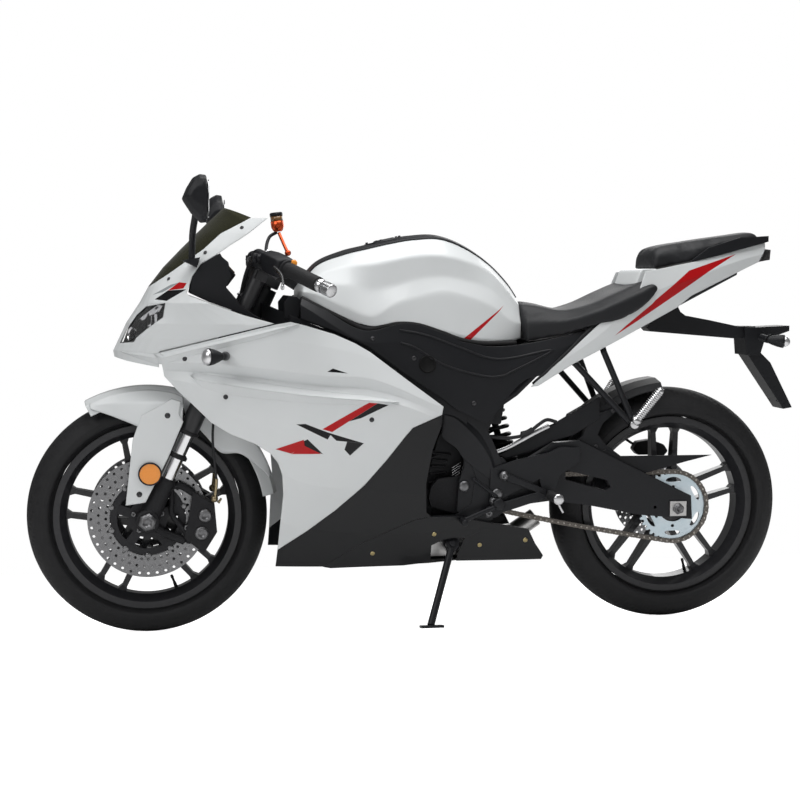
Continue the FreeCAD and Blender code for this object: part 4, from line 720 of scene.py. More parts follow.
# Windscreen: clear sheet tinted dark olive. The fork's round reflectors are moulded amber.
smoked = add_grain(new_finish("smoked_screen", (0.05, 0.05, 0.03), 0.05), (0.045, 0.045, 0.026),
                   (0.055, 0.055, 0.034), 5, 0.01)
smoked.node_tree.nodes["Principled BSDF"].inputs["Transmission Weight"].default_value = 0.55
smoked.node_tree.nodes["Principled BSDF"].inputs["IOR"].default_value = 1.2
give_finish(["windscreen"], smoked)

amber = add_grain(new_finish("amber_reflector", (0.85, 0.27, 0.02), 0.15, 0.0, 0.6), (0.75, 0.2, 0.01),
                  (0.95, 0.36, 0.03), 800, 0.3)
give_finish(["fork_reflectors"], amber)

# Tank: pressed steel under the same white lacquer, creased along its shoulders and knee
# cut-outs, with a black strip down the middle of its top and a filler cap.
tank_stations = [972, 930, 866, 804, 745, 692, 625, 560, 495, 444, 413]
tank_rows = [[(0, 880), (60, 876), (118, 868), (124, 865), (130, 862), (128, 846)],
             [(0, 933), (56, 928), (104, 905), (128, 880), (144, 852), (142, 829)],
             [(0, 962), (62, 955), (108, 924), (137, 878), (152, 822), (146, 797)],
             [(0, 978), (70, 972), (122, 930), (126, 868), (152, 803), (148, 779)],
             [(0, 994), (72, 986), (128, 941), (123, 880), (150, 833), (146, 787)],
             [(0, 1003), (72, 995), (130, 952), (126, 894), (148, 848), (144, 784)],
             [(0, 1006), (70, 998), (126, 953), (122, 902), (143, 862), (140, 763)],
             [(0, 986), (62, 976), (110, 940), (112, 892), (135, 850), (132, 746)],
             [(0, 946), (52, 936), (86, 912), (100, 869), (122, 826), (118, 738)],
             [(0, 897), (44, 888), (72, 862), (88, 827), (106, 792), (100, 740)],
             [(0, 852), (38, 846), (60, 830), (74, 806), (88, 784), (84, 746)]]


def creased_body(stations, rows, along_count, across_count, softness):
    """Grid of a body symmetric about its middle: each row point runs along the bike on a
    Catmull-Rom curve; across it, straight spans whose corners are rounded by averaging each
    sample with its neighbours as many times as softness says."""
    half = np.array([[(x, y, z) for y, z in row] for x, row in zip(stations, rows)], float)
    lines = smooth_line(half, along_count)
    mirrored = lines[:, :0:-1] * [1, -1, 1]
    full = np.concatenate([mirrored, lines], 1)
    span = np.linspace(0, full.shape[1] - 1, across_count)
    low = np.minimum(span.astype(int), full.shape[1] - 2)
    share = (span - low)[None, :, None]
    grid = full[:, low] * (1 - share) + full[:, low + 1] * share
    for _ in range(softness):
        grid[:, 1:-1] = (grid[:, :-2] + 2 * grid[:, 1:-1] + grid[:, 2:]) / 4
    return grid


def body_mesh(name, grid):
    """Mesh of a grid whose under side is closed flat and whose ends are closed by triangle fans."""
    rows, columns, _ = grid.shape
    ends = np.stack([grid[0].mean(0), grid[-1].mean(0)])
    points = np.concatenate([grid.reshape(-1, 3), ends])
    faces = sheet_faces(rows, columns, False, True).tolist()
    k = np.arange(columns)
    last = (rows - 1) * columns
    first_hub, last_hub = np.full_like(k, rows * columns), np.full_like(k, rows * columns + 1)
    faces += np.stack([(k + 1) % columns, k, first_hub], 1).tolist()
    faces += np.stack([last + k, last + (k + 1) % columns, last_hub], 1).tolist()
    mesh = bpy.data.meshes.new(name)
    mesh.from_pydata(stance(points).tolist(), [], faces)
    return mesh


tank_flash = [(stripe_red, [(575, 744), (552, 744), (462, 829), (475, 820)])]
tank_finish = add_flashes(white_lacquer("tank_white"), tank_flash)
tank_grid = creased_body(tank_stations, tank_rows, 121, 101, 1)
tank = add_piece("tank_shell", body_mesh("tank_shell", tank_grid), "chassis", tank_finish)
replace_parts(tank, "tank")

# The strip is the middle of the tank's own grid, lifted clear of it; the cap is sunk in it.
strip_lift, strip_columns = 1.4, slice(39, 62)
strip_grid = tank_grid[1:-1, strip_columns] + [0, 0, strip_lift]
strip = mesh_of("tank_strip", stance(strip_grid.reshape(-1, 3)), sheet_faces(*strip_grid.shape[:2]))
thicken(add_piece("tank_strip", strip, "chassis", satin_black), 0.0025)
cap_axis, screw_count, screw_circle = (0.22, 0, 1), 5, 44
cap_profile = [(0, 52), (4, 52), (6, 50), (6, 38), (4, 36), (4, 30), (7, 28), (9, 25), (9, 0.01)]
screw_profile = [(0, 3.4), (3, 3.4), (3.6, 2.6), (3.6, 0.01)]
cap_parts = [turned_mesh("cap", cap_profile, (752, 0, 987), cap_axis, 60)]
for t in np.arange(screw_count) * 2 * math.pi / screw_count:
    screw_place = (753 + screw_circle * math.cos(t), screw_circle * math.sin(t), 993 - 9.7 * math.cos(t))
    cap_parts.append(turned_mesh("screw", screw_profile, screw_place, cap_axis, 12))
add_group("filler_cap", cap_parts, "chassis", powder_black)

# Seats: shaped foam under black grained vinyl, welted along the crease. Both are blown up
# a little in a cloth simulation so that the foam crowns between its edges.
vinyl = add_grain(new_finish("seat_vinyl", (0.012, 0.0125, 0.014), 0.5), (0.009, 0.0095, 0.011),
                  (0.02, 0.0205, 0.0225), 850, 0.55, (0.42, 0.6), (1, 1, 1), 6)
rider_stations = [408, 360, 301, 233, 170, 115, 84, 66]
rider_rows = [[(0, 842), (70, 832), (112, 790), (118, 741)], [(0, 832), (84, 824), (126, 790), (126, 748)],
              [(0, 819), (96, 815), (142, 795), (138, 760)], [(0, 832), (106, 832), (153, 816), (151, 781)],
              [(0, 858), (112, 860), (154, 843), (153, 796)],
              [(0, 878), (112, 884), (151, 868), (149, 826)],
              [(0, 886), (108, 894), (144, 884), (142, 853)],
              [(0, 880), (102, 888), (134, 882), (133, 874)]]
pillion_stations = [66, 52, -37, -150, -214, -234]
pillion_rows = [[(0, 936), (50, 934), (66, 930), (72, 924)], [(0, 976), (56, 973), (78, 960), (84, 926)],
                [(0, 995), (58, 992), (82, 974), (90, 944)], [(0, 1012), (50, 1009), (68, 1000), (74, 972)],
                [(0, 1021), (44, 1019), (58, 1012), (64, 988)],
                [(0, 1016), (42, 1014), (54, 1008), (58, 993)]]


def blown_pad(name, stations, rows, voxel, cap, blow_steps=20):
    """The body's grid is voxel-remeshed, filled with pressure for some frames, and each point's
    move is limited to the cap, so the pad crowns but keeps its place."""
    grid = creased_body(stations, rows, 70, 49, 2)
    pad = bpy.data.objects.new(name, body_mesh(name, grid))
    bpy.context.scene.collection.objects.link(pad)
    bpy.context.view_layer.objects.active = pad
    remesh = pad.modifiers.new("even", "REMESH")
    remesh.mode, remesh.voxel_size = "VOXEL", voxel
    even = bpy.data.meshes.new_from_object(pad.evaluated_get(bpy.context.evaluated_depsgraph_get()))
    pad.modifiers.clear()
    pad.data = even
    rest = np.zeros(len(even.vertices) * 3)
    even.vertices.foreach_get("co", rest)
    rest = rest.reshape(-1, 3)
    cloth = pad.modifiers.new("foam", "CLOTH")
    cloth.settings.use_pressure = True
    cloth.settings.uniform_pressure_force = 4.0
    cloth.settings.tension_stiffness = cloth.settings.compression_stiffness = 25
    cloth.settings.effector_weights.gravity = 0
    for step in range(1, blow_steps + 1):
        bpy.context.scene.frame_set(step)
    evaluated = pad.evaluated_get(bpy.context.evaluated_depsgraph_get())
    blown = bpy.data.meshes.new_from_object(evaluated)
    moved = np.zeros(len(blown.vertices) * 3)
    blown.vertices.foreach_get("co", moved)
    move = moved.reshape(-1, 3) - rest
    far = np.linalg.norm(move, axis=1, keepdims=True)
    rest = rest + move * np.minimum(1, cap / np.maximum(far, 1e-9))
    pad.modifiers.clear()
    bpy.context.scene.frame_set(1)
    even.vertices.foreach_set("co", rest.astype(np.float32).ravel())
    even.update()
    bpy.data.objects.remove(pad)
    piece = add_piece(name, even, "chassis", vinyl)
    finer = piece.modifiers.new("finer", "SUBSURF")
    finer.levels = finer.render_levels = 1
    return piece


for name, stations, rows, node_name in (("rider_pad", rider_stations, rider_rows, "rider_seat"),
                                        ("pillion_pad", pillion_stations, pillion_rows, "pillion_seat")):
    pad = blown_pad(name, stations, rows, 0.006, 0.004)
    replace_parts(pad, node_name)

# Fasteners: domed screws with a hexagon socket, blackened or brass-plated steel, driven
# square into the panels that they hold; each stands on the skin found under its place.
screw_black = add_grain(new_finish("screw_black", (0.05, 0.05, 0.052), 0.3, 0.8), (0.035, 0.035, 0.037),
                        (0.09, 0.09, 0.093), 300, 0.1, (0.25, 0.4))
screw_brass = add_grain(new_finish("screw_brass", (0.42, 0.34, 0.16), 0.3, 1.0), (0.3, 0.24, 0.11),
                        (0.55, 0.46, 0.25), 300, 0.1, (0.24, 0.4))
ray_start, ray_reach = 500, 0.48
two_sides = ((1, "left"), (-1, "right"))


def on_skin(node_names, spots, side, needed=True):
    """Where rays from outboard, straight across the upright bike and ending short of its middle,
    first meet any of the nodes: places and outward normals, upright millimetres. A miss that is
    allowed has no side distance."""
    skins = []
    for node_name in node_names.split():
        mesh = nodes[node_name].data
        corners, faces = [v.co for v in mesh.vertices], [tuple(f.vertices) for f in mesh.polygons]
        skins.append(BVHTree.FromPolygons(corners, faces))
    across = Vector(upright_to_leaning @ np.array([0, -side, 0]))
    places, normals = [], []
    for x, z in spots:
        hits = [skin.ray_cast(Vector(stance([x, ray_start * side, z])), across) for skin in skins]
        hits = [hit for hit in hits if hit[0] is not None and hit[3] < ray_reach]
        if not hits and needed:
            raise ValueError(f"no skin of {node_names} at {x}, {z}")
        if not hits:
            places.append(np.array([x, math.nan, z]))
            normals.append(np.array([0.0, side, 0.0]))
            continue
        place, normal, _, _ = min(hits, key=lambda hit: hit[3])
        normal = normal if normal.dot(across) < 0 else -normal
        places.append((np.array(place) - stance_shift) @ upright_to_leaning * 1000)
        normals.append(np.array(normal) @ upright_to_leaning)
    return np.array(places), np.array(normals)


def screw_meshes(node_names, spots, radius, sides=(1, -1)):
    """Socket heads square to the skin at the given (x, z) places, on one side or both."""
    profile = [(-2, 1), (0.6, 1), (1.6, 0.8), (2.2, 0.5), (2.2, 0.45), (0.6, 0.42), (0.6, 0.001)]
    profile, heads = np.array(profile) * [1, radius], []
    for side in sides:
        places, normals = on_skin(node_names, spots, side)
        heads += [turned_mesh("screw", profile, place, normal, 18)
                  for place, normal in zip(places, normals)]
    return heads


black_heads = []
for node_names, spots, radius, sides in (
        ("side_fairing_left", [(1162, 610), (813, 555), (1258, 700)], 6, (1,)),
        ("side_fairing_right", [(1162, 610), (813, 555), (1258, 700)], 6, (-1,)),
        ("windscreen upper_cowl", [(1119, 1016), (1207, 955), (1295, 891)], 5, (1, -1)),
        ("side_covers", [(547, 587), (803, 748), (700, 700)], 6, (1, -1)),
        ("hugger", [(215, 470), (172, 560)], 5, (1, -1)),
        ("frame", [(465, 401), (489, 339), (489, 310)], 8, (1, -1))):
    black_heads += screw_meshes(node_names, spots, radius, sides)
add_group("panel_screws", black_heads, "chassis", screw_black)
brass_heads = screw_meshes("belly_pan", [(647, 262), (525, 227), (407, 237), (800, 215)], 6)
add_group("belly_screws", brass_heads, "chassis", screw_brass)
fork_heads = screw_meshes("front_fender", [(1369, 368), (1300, 560)], 7)
add_group("fender_screws", fork_heads, "steering", screw_black)


def tube_mesh(name, points, radius, count=48, sides=12, flat=1.0):
    """Round bar along a Catmull-Rom curve: rings square to it, their sides kept level with the
    axis that the bar runs along least; flat scales a ring's height. The ends are domed."""
    line = smooth_line(points, count)
    run = np.gradient(line, axis=0)
    run /= np.linalg.norm(run, axis=1, keepdims=True)
    fixed = np.eye(3)[np.abs(run).mean(0).argmin()]
    first = np.cross(run, fixed)
    first /= np.linalg.norm(first, axis=1, keepdims=True)
    second = np.cross(run, first)
    reach = np.broadcast_to(radius, (count,)).astype(float)
    dome = np.array([0.001, 0.5, 0.85])
    line = np.concatenate([line[:1] - run[:1] * reach[0] * (1 - dome[:, None]) * 0.5, line,
                           line[-1:] + run[-1:] * reach[-1] * (1 - dome[::-1, None]) * 0.5])
    first, second = (np.concatenate([way[:1].repeat(3, 0), way, way[-1:].repeat(3, 0)])
                     for way in (first, second))
    reach = np.concatenate([reach[0] * dome, reach, reach[-1] * dome[::-1]])[:, None, None]
    turn = np.linspace(0, 2 * math.pi, sides, endpoint=False)[None, :, None]
    rings = line[:, None] + reach * (np.cos(turn) * first[:, None] + flat * np.sin(turn) * second[:, None])
    return mesh_of(name, stance(rings.reshape(-1, 3)), sheet_faces(*rings.shape[:2], False, True))


def loft_mesh(name, rows):
    """Quads between equal outlines laid one after another, shut by an outline at each end."""
    rows = np.asarray(rows, float)
    count, corners, _ = rows.shape
    faces = sheet_faces(count, corners, False, True).tolist()
    faces += [list(range(corners)), list(range((count - 1) * corners, count * corners))]
    mesh = bpy.data.meshes.new(name)
    mesh.from_pydata(stance(rows.reshape(-1, 3)).tolist(), [], faces)
    work = bmesh.new()
    work.from_mesh(mesh)
    bmesh.ops.recalc_face_normals(work, faces=work.faces)
    work.to_mesh(mesh)
    work.free()
    return mesh


def slab_mesh(name, outline, y_low, y_high):
    """A side-view outline as a flat piece between two distances from the middle."""
    return loft_mesh(name, [[(x, y, z) for x, z in outline] for y in (y_low, y_high)])


def rounded(piece, width, segments=3):
    """Round the edges of a piece, with flat faces kept flat in the shading."""
    edges = piece.modifiers.new("round", "BEVEL")
    edges.width, edges.segments, edges.limit_method = width / 1000, segments, "ANGLE"
    edges.angle_limit = math.radians(25)
    piece.modifiers.new("shade", "WEIGHTED_NORMAL")
    return piece


# Side covers: the raised lip round their recess, and the round hole with its grommet, drawn as a near-black
# disc: painted shade.
# Near-black for holes, darker than any rubber: painted shade in place of a hole's dark inside.
hole_shade_black = add_grain(new_finish("hole_shade_black", (0.0015, 0.0015, 0.0016), 0.75), (0.001, 0.001, 0.0011),
                       (0.003, 0.003, 0.0032), 400, 0.2)
grommet_profile = [(-1, 22), (2, 22), (3.2, 20.5), (3.2, 18.5), (1.2, 17), (0.4, 16.5), (0.4, 0.01)]
lip_line = [(735, 769), (671, 757), (581, 725), (510, 700), (451, 699), (347, 718), (445, 668), (477, 655),
            (522, 655), (619, 681), (696, 725), (733, 738)]
lip_path = smooth_line(lip_line, 70)
lips = [tube_mesh("lip", on_skin("side_covers", lip_path, side)[0], 2.8, 140, 10) for side in (1, -1)]
add_group("cover_lips", lips, "chassis", satin_black)
grommets_with_shade = []
for side in (1, -1):
    # The grommet is black rubber; its middle is a closed near-black disc, painted shade for the hole.
    place, normal = on_skin("side_covers", [(666, 685)], side)
    grommets_with_shade.append(turned_mesh("grommet", grommet_profile, place[0], normal[0], 40))
add_group("cover_grommets_with_hole_shade", grommets_with_shade, "chassis", hole_shade_black)

# Edge rubbers: a black bead fills the joint under the tank's lower edge, and a thin bead
# edges the side covers where the white tail begins. A white panel bridges the tail's sides.
tank_edge = [(976, 142, 846), (930, 142, 822), (860, 144, 789), (818, 144, 772), (776, 142, 778),
             (733, 141, 785),
             (684, 139, 781), (626, 136, 762), (577, 131, 744), (513, 121, 734), (430, 104, 735)]
tail_edge = [(392, 138, 634), (372, 146, 654), (346, 146, 677), (318, 146, 703), (290, 144, 729),
             (262, 140, 757), (244, 138, 773)]
bead_jobs = ((tank_edge, 7, 90, 12), (tail_edge, 4.5, 60, 10))
beads = [tube_mesh("bead", np.array(edge) * [1, side, 1], radius, count, sides)
         for side in (1, -1) for edge, radius, count, sides in bead_jobs]
add_group("edge_rubbers", beads, "chassis", tyre_rubber)
bridge = slab_mesh("bridge", [(56, 870), (108, 876), (114, 884), (102, 918), (95, 925), (56, 925)], -90, 90)
rounded(add_piece("tail_bridge", bridge, "chassis", white_lacquer("bridge_white")), 4.0)

# Bars: ribbed rubber grips, knurled chrome bar ends, and cables that run
# down beside the fork from the switch housings.
polished_alloy = add_grain(new_finish("polished_alloy", (0.62, 0.62, 0.63), 0.22, 1.0), (0.5, 0.5, 0.51),
                           (0.72, 0.72, 0.73), 120, 0.06, (0.16, 0.3))


def fork_point(up, y, out=0.0):
    """Place by height up the fork from the axle, side distance, and distance ahead of the legs."""
    fork_ahead = np.array([math.cos(rake), 0, math.sin(rake)])
    return np.array([wheelbase, y, front_axle_height]) + fork_up * up + fork_ahead * out


bar_inner, bar_outer = fork_point(706, 95, 37), fork_point(691, 345, -160)


def along_bar(y, ahead=0.0, up=0.0):
    """Point on the left bar at a side distance, moved forward and up."""
    along = (bar_outer - bar_inner) * (y - bar_inner[1]) / (bar_outer[1] - bar_inner[1])
    return bar_inner + along + np.array([ahead, 0, up])


clip_ring = [(-16, 20.6), (-16, 30), (-13, 32), (13, 32), (16, 30), (16, 20.6)]
pinch_profile = [(-15, 0.01), (-15, 5.5), (-11, 5.5), (-11, 9), (11, 9), (11, 5.5), (15, 5.5), (15, 0.01)]
flange_profile = [(-6, 12), (-6, 21), (-4, 22.5), (-1, 22.5), (1, 20), (1, 12)]
end_profile = [(0, 10), (0, 15.6), (2, 16.3), (12, 16.3), (13, 15.4), (22, 15.4), (23, 16.3)]
end_profile += [(24 + k, 16.3 if k % 2 else 15.5) for k in range(24)] + [(49, 14.5), (50, 12), (50, 0.01)]
grip_start, grip_end, grip_radius, rib_height, rib_pitch = 206, 298, 17.4, 0.7, 4.2
grip_length = float(np.linalg.norm(along_bar(grip_end) - along_bar(grip_start)))
s = np.linspace(0, grip_length, 160)
ribs = grip_radius + rib_height * np.clip(np.cos(s * 2 * math.pi / rib_pitch), -0.4, 1)
grip_profile = np.concatenate([[(0, 12)], np.stack([s, ribs], 1), [(grip_length, 12)]])
pod_outline = ((-24, -20), (-27, 0), (-22, 21), (0, 26), (22, 20), (26, -2), (20, -24), (-4, -28))
pod_sizes = ((146, 0.82), (151, 1.0), (172, 1.02), (194, 0.98), (200, 0.8))
lever_line = np.array([(1066, 143, 944), (1056, 152, 939), (1045, 190, 920), (1033, 240, 902),
                       (1032, 285, 884), (1035, 312, 872)])
lever_reach = np.interp(np.arange(60), [0, 12, 45, 55, 59], [6.5, 6.0, 4.6, 4.8, 6.4])
cable_runs = [([(1078, 60, 948), (1092, 56, 910), (1104, 52, 868), (1116, 48, 820)], 4.6),
              ([(1066, 64, 944), (1084, 58, 896), (1098, 52, 850), (1108, 46, 806)], 4.0),
              ([(1088, 52, 946), (1104, 48, 900), (1114, 44, 856), (1120, 40, 812)], 3.4)]
silver_run = [along_bar(116, -8, -6), along_bar(104, -22, -46), along_bar(92, -12, -80),
              along_bar(80, 20, -110)]
for side, word in two_sides:
    mirror = np.array([1, side, 1])
    bar_axis = (bar_outer - bar_inner) * mirror
    boss_run = np.array([fork_point(694, 108, 18), along_bar(112), along_bar(130)]) * mirror
    clip = [turned_mesh("clip", clip_ring, fork_point(690, leg_side * side), fork_up, 40),
            tube_mesh("bar", np.array([along_bar(y) for y in (104, 200, 300)]) * mirror, 11, 30, 20),
            tube_mesh("boss", boss_run, 15, 20, 20)]
    bar = add_group("clip_on_" + word, clip, "steering", powder_black)
    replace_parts(bar, "handlebars")
    pinch = turned_mesh("pinch", pinch_profile, fork_point(690, 76 * side, 24), (0.3, side, 0.9), 20)
    add_piece("clip_bolt_" + word, pinch, "steering", polished_alloy)
    grips = [turned_mesh("grip", grip_profile, along_bar(grip_start) * mirror, bar_axis, 40),
             turned_mesh("flange", flange_profile, along_bar(grip_start - 1) * mirror, bar_axis, 40)]
    add_group("grip_" + word, grips, "steering", tyre_rubber)
    bar_end = turned_mesh("bar_end", end_profile, along_bar(300) * mirror, bar_axis, 36)
    add_piece("bar_end_" + word, bar_end, "steering", polished_alloy)
    pod = loft_mesh("pod", [[along_bar(y, px * size, pz * size) * mirror for px, pz in pod_outline]
                            for y, size in pod_sizes])
    pod = rounded(add_piece("switch_pod_" + word, pod, "steering", satin_black), 2.0)
    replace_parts(pod, "controls")
    lever = tube_mesh("lever", lever_line * mirror, lever_reach, 60, 16, 0.75)
    lever = add_piece("lever_" + word, lever, "steering", polished_alloy)
    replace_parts(lever, "controls")
    perch_run = np.array([along_bar(138, 6), along_bar(140, 20, 2), along_bar(142, 34, 4)]) * mirror
    perch = [tube_mesh("perch", perch_run, 11, 16, 14),
             turned_mesh("pivot", [(-12, 0.01), (-12, 7), (12, 7), (13, 4), (13, 0.01)],
                         along_bar(146, 34, 4) * mirror, (0, 0, 1), 20)]
    add_group("lever_perch_" + word, perch, "steering", satin_black)
    cables = [tube_mesh("cable", np.array(run) * mirror, radius) for run, radius in cable_runs]
    add_group("black_cables_" + word, cables, "steering", hose_rubber)
    silver = tube_mesh("cable", np.array(silver_run) * mirror, 2.6)
    add_piece("silver_cable_" + word, silver, "steering", polished_alloy)
amber_plastic = add_grain(new_finish("amber_button", (0.9, 0.3, 0.02), 0.3), (0.8, 0.24, 0.01),
                          (0.95, 0.38, 0.04), 90, 0.05)
button_profile = [(0, 8), (5, 8), (7, 6.5), (7.6, 3), (7.6, 0.01)]
hazard = turned_mesh("button", button_profile, (1000, 199, 930), (-0.25, 0.95, 0.1), 24)
add_piece("hazard_button", hazard, "steering", amber_plastic)
horn = [turned_mesh("horn", button_profile, along_bar(178, -22, -6), (-1, 0, -0.2), 24),
        turned_mesh("switch", button_profile, along_bar(164, -22, 6), (-1, 0, 0.2), 24)]
add_group("horn_button", horn, "steering", tyre_rubber)

# Brake fluid reservoir: an orange-red anodised cup with a smoked band and a black cap, on
# a forked bracket from the right-hand lever's perch.
anodised_red = add_grain(new_finish("anodised_red", (0.62, 0.07, 0.02), 0.22, 0.75), (0.5, 0.05, 0.015),
                         (0.75, 0.12, 0.03), 80, 0.05, (0.16, 0.3))
cup_foot, cup_axis = (1006, -226, 1020), (0.12, 0, 1)
cup_profile = [(0, 0.01), (0, 10), (3, 13), (12, 17), (27, 17.4), (28, 16), (28, 0.01)]
cup = turned_mesh("cup", cup_profile, cup_foot, cup_axis, 36)
cup = add_piece("reservoir_cup", cup, "steering", anodised_red)
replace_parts(cup, "controls")
band_profile = [(27, 0.01), (27, 16.4), (42, 16.4), (42, 0.01)]
smoke = add_grain(new_finish("smoked_band", (0.12, 0.05, 0.01), 0.1, 0.0, 0.6), (0.08, 0.035, 0.01),
                  (0.3, 0.14, 0.03), 60, 0.05)
add_piece("reservoir_band", turned_mesh("band", band_profile, cup_foot, cup_axis, 36), "steering", smoke)
cap_ribs = [(42 + k * 0.8, 17.6 if k % 2 else 17.0) for k in range(9)]
cap_edge = [(41, 0.01), (41, 17)] + cap_ribs + [(51, 15), (51, 0.01)]
add_piece("reservoir_cap", turned_mesh("cap", cap_edge, cup_foot, cup_axis, 36), "steering", satin_black)
arm_line = [(1036, -172, 940), (1040, -196, 972), (1030, -220, 1004), (1010, -226, 1018)]
bracket = tube_mesh("arm", arm_line, 4.5, 30)
bracket = add_piece("reservoir_bracket", bracket, "steering", satin_black)
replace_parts(bracket, "controls")
red_arm = [tube_mesh("arm", [(984, -176, 962), (992, -200, 984), (1004, -222, 1016)], 4.5, 30),
           turned_mesh("boss", [(-6, 0.01), (-6, 8), (6, 8), (6, 0.01)], (984, -176, 962), (0, 1, 0), 20)]
add_group("reservoir_red_arm", red_arm, "steering", anodised_red)

# Mirrors: black plastic heads on round stalks, with silvered glass set in the rear face; the
# right one is turned further back on its stalk.
mirror_glass = add_grain(new_finish("mirror_glass", (0.9, 0.9, 0.92), 0.02, 1.0), (0.88, 0.88, 0.9),
                         (0.92, 0.92, 0.94), 8, 0.005)
head_rows = [(258, 0.35), (268, 0.72), (285, 0.93), (310, 1.0), (332, 0.94), (346, 0.76), (354, 0.42)]
head_outline = np.array([(1207, 1020), (1222, 1018), (1245, 1042), (1264, 1072), (1254, 1096), (1240, 1119),
                         (1224, 1128), (1209, 1126), (1204, 1100), (1203, 1060)], float)
head_middle, head_tilt, glass_edges = np.array([1212, 1072]), 0.12, ((1203.5, 1026), (1203.5, 1120))
stalk_line = np.array([(1240, 140, 932), (1239, 158, 962), (1238, 214, 1000), (1232, 276, 1040)])
stalk_shares = np.array([0, 0.1, 0.5, 1])
turned_back = {1: np.zeros(3), -1: np.array([-56.0, 0.0, -8.0])}
for side, word in two_sides:
    rows, glass = [], []
    for y, size in head_rows:
        drop = (310 - y) * head_tilt
        corners = head_middle + (head_outline - head_middle) * [0.4 + 0.6 * size, size] - [0, drop]
        rows.append([(x, y * side, z) for x, z in corners])
        glass.append([(-0.8 + x, y * side, 1072 + (z - 1072) * size * 0.9 - drop) for x, z in glass_edges])
    head = loft_mesh("head", np.array(rows) + turned_back[side])
    head = rounded(add_piece("mirror_head_" + word, head, "chassis", satin_black), 3.0)
    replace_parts(head, "mirrors")
    glass = np.array(glass).reshape(-1, 3) + turned_back[side]
    glass = mesh_of("glass", stance(glass), sheet_faces(len(head_rows), len(glass_edges)))
    glass = add_piece("mirror_glass_" + word, glass, "chassis", mirror_glass)
    glass.modifiers.new("thickness", "SOLIDIFY").thickness = 0.0015
    stalk = stalk_line * [1, side, 1] + stalk_shares[:, None] * turned_back[side]
    foot = slab_mesh("foot", [(1264, 935), (1220, 943), (1228, 918)], 126 * side, 156 * side)
    stalk = [tube_mesh("stalk", stalk, 8, 40, 16), foot]
    stalk = rounded(add_group("mirror_stalk_" + word, stalk, "chassis", satin_black), 2.0)
    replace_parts(stalk, "mirrors")

# Lamps: clear lenses that are solid in the frame. A ray that meets their rear walls from
# inside sees the housing; bright bowls and bars are set in behind the front face.
def lens_finish(name, tint, housing, housing_metal):
    """Clear lens whose back faces show the housing: a mix by the Backfacing output."""
    finish = add_grain(new_finish(name, tint, 0.03), tint, tint, 60, 0.03)
    nodes_of, links_of = finish.node_tree.nodes, finish.node_tree.links
    clear = nodes_of["Principled BSDF"]
    clear.inputs["Transmission Weight"].default_value = 0.96
    clear.inputs["IOR"].default_value = 1.08
    clear.inputs["Coat Weight"].default_value = 0.5
    back = nodes_of.new("ShaderNodeBsdfPrincipled")
    back.inputs["Base Color"].default_value = (*housing, 1)
    back.inputs["Metallic"].default_value = housing_metal
    back.inputs["Roughness"].default_value = 0.3
    choice = nodes_of.new("ShaderNodeMixShader")
    links_of.new(nodes_of.new("ShaderNodeNewGeometry").outputs["Backfacing"], choice.inputs[0])
    links_of.new(clear.outputs[0], choice.inputs[1])
    links_of.new(back.outputs[0], choice.inputs[2])
    links_of.new(choice.outputs[0], nodes_of["Material Output"].inputs["Surface"])
    return finish


give_finish(["headlamps"], lens_finish("headlamp_lens", (0.96, 0.97, 0.98), (0.05, 0.052, 0.055), 0.4))
bowl_profile = [(0, 1.0), (-2, 0.97), (-7, 0.82), (-11, 0.55), (-13, 0.25), (-13, 0.12), (-5, 0.12),
                (-4, 0.001)]
bowl_jobs = (((1336, 104, 797), 21, (0.8, 0.6, 0.2)), ((1389, 62, 757), 17, (0.9, 0.42, 0.2)))
for side, word in two_sides:
    mirror = np.array([1, side, 1])
    bowls = [turned_mesh("bowl", np.array(bowl_profile) * [1, radius], np.array(centre) * mirror,
                         np.array(axis) * mirror, 36) for centre, radius, axis in bowl_jobs]
    add_group("lamp_bowls_" + word, bowls, "chassis", polished_alloy)
give_finish(["tail_lamp"], lens_finish("tail_lens", (0.95, 0.94, 0.94), (0.7, 0.7, 0.71), 0.5))
bar_outline = [(-247, 976), (-264.8, 974.5), (-262.8, 953), (-233, 948)]
bars = [slab_mesh("bar", bar_outline, y - 1.2, y + 1.2) for y in range(-48, 49, 12)]
bar_lens = lens_finish("bar_lens", (0.82, 0.82, 0.84), (0.62, 0.62, 0.64), 0.6)
add_group("tail_lamp_bars", bars, "chassis", bar_lens)

signal_lens = lens_finish("signal_lens", (0.95, 0.95, 0.93), (0.75, 0.75, 0.76), 1.0)
cone = [(0, 0.01), (0, 8), (6, 10), (14, 14), (26, 18.5), (36, 20.5), (40, 20.5), (40, 0.01)]
bulb_lens = [(38, 0.01), (38, 19.5), (44, 19.5), (49, 15), (52, 8), (53, 0.01)]
front_stalk = [(1162, 196, 708), (1164, 226, 709), (1168, 250, 710), (1176, 262, 710)]
rear_stalk = [(-236, 78, 748), (-240, 90, 746), (-244, 102, 744)]
for side, word in two_sides:
    front_place, front_axis = np.array([1170, 258 * side, 710]), np.array([0.9, 0.42 * side, 0])
    rear_place, rear_axis = np.array([-238, 98 * side, 744]), np.array([-0.93, 0.34 * side, -0.1])
    lenses = [turned_mesh("lens", bulb_lens, front_place, front_axis, 36),
              turned_mesh("lens", np.array(bulb_lens) * [1.2, 0.7], rear_place, rear_axis, 36)]
    lens = add_group("signal_lenses_" + word, lenses, "chassis", signal_lens)
    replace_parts(lens, "signals")
    mirror = np.array([1, side, 1])
    stalks = [tube_mesh("stalk", np.array(front_stalk) * mirror, np.linspace(11, 8, 24), 24, 20),
              turned_mesh("cone", cone, front_place, front_axis, 36),
              tube_mesh("stalk", np.array(rear_stalk) * mirror, 10, 16, 20),
              turned_mesh("cone", np.array(cone) * [1.2, 0.84], rear_place, rear_axis, 36)]
    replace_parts(add_group("signal_stalks_" + word, stalks, "chassis", satin_black), "signals")

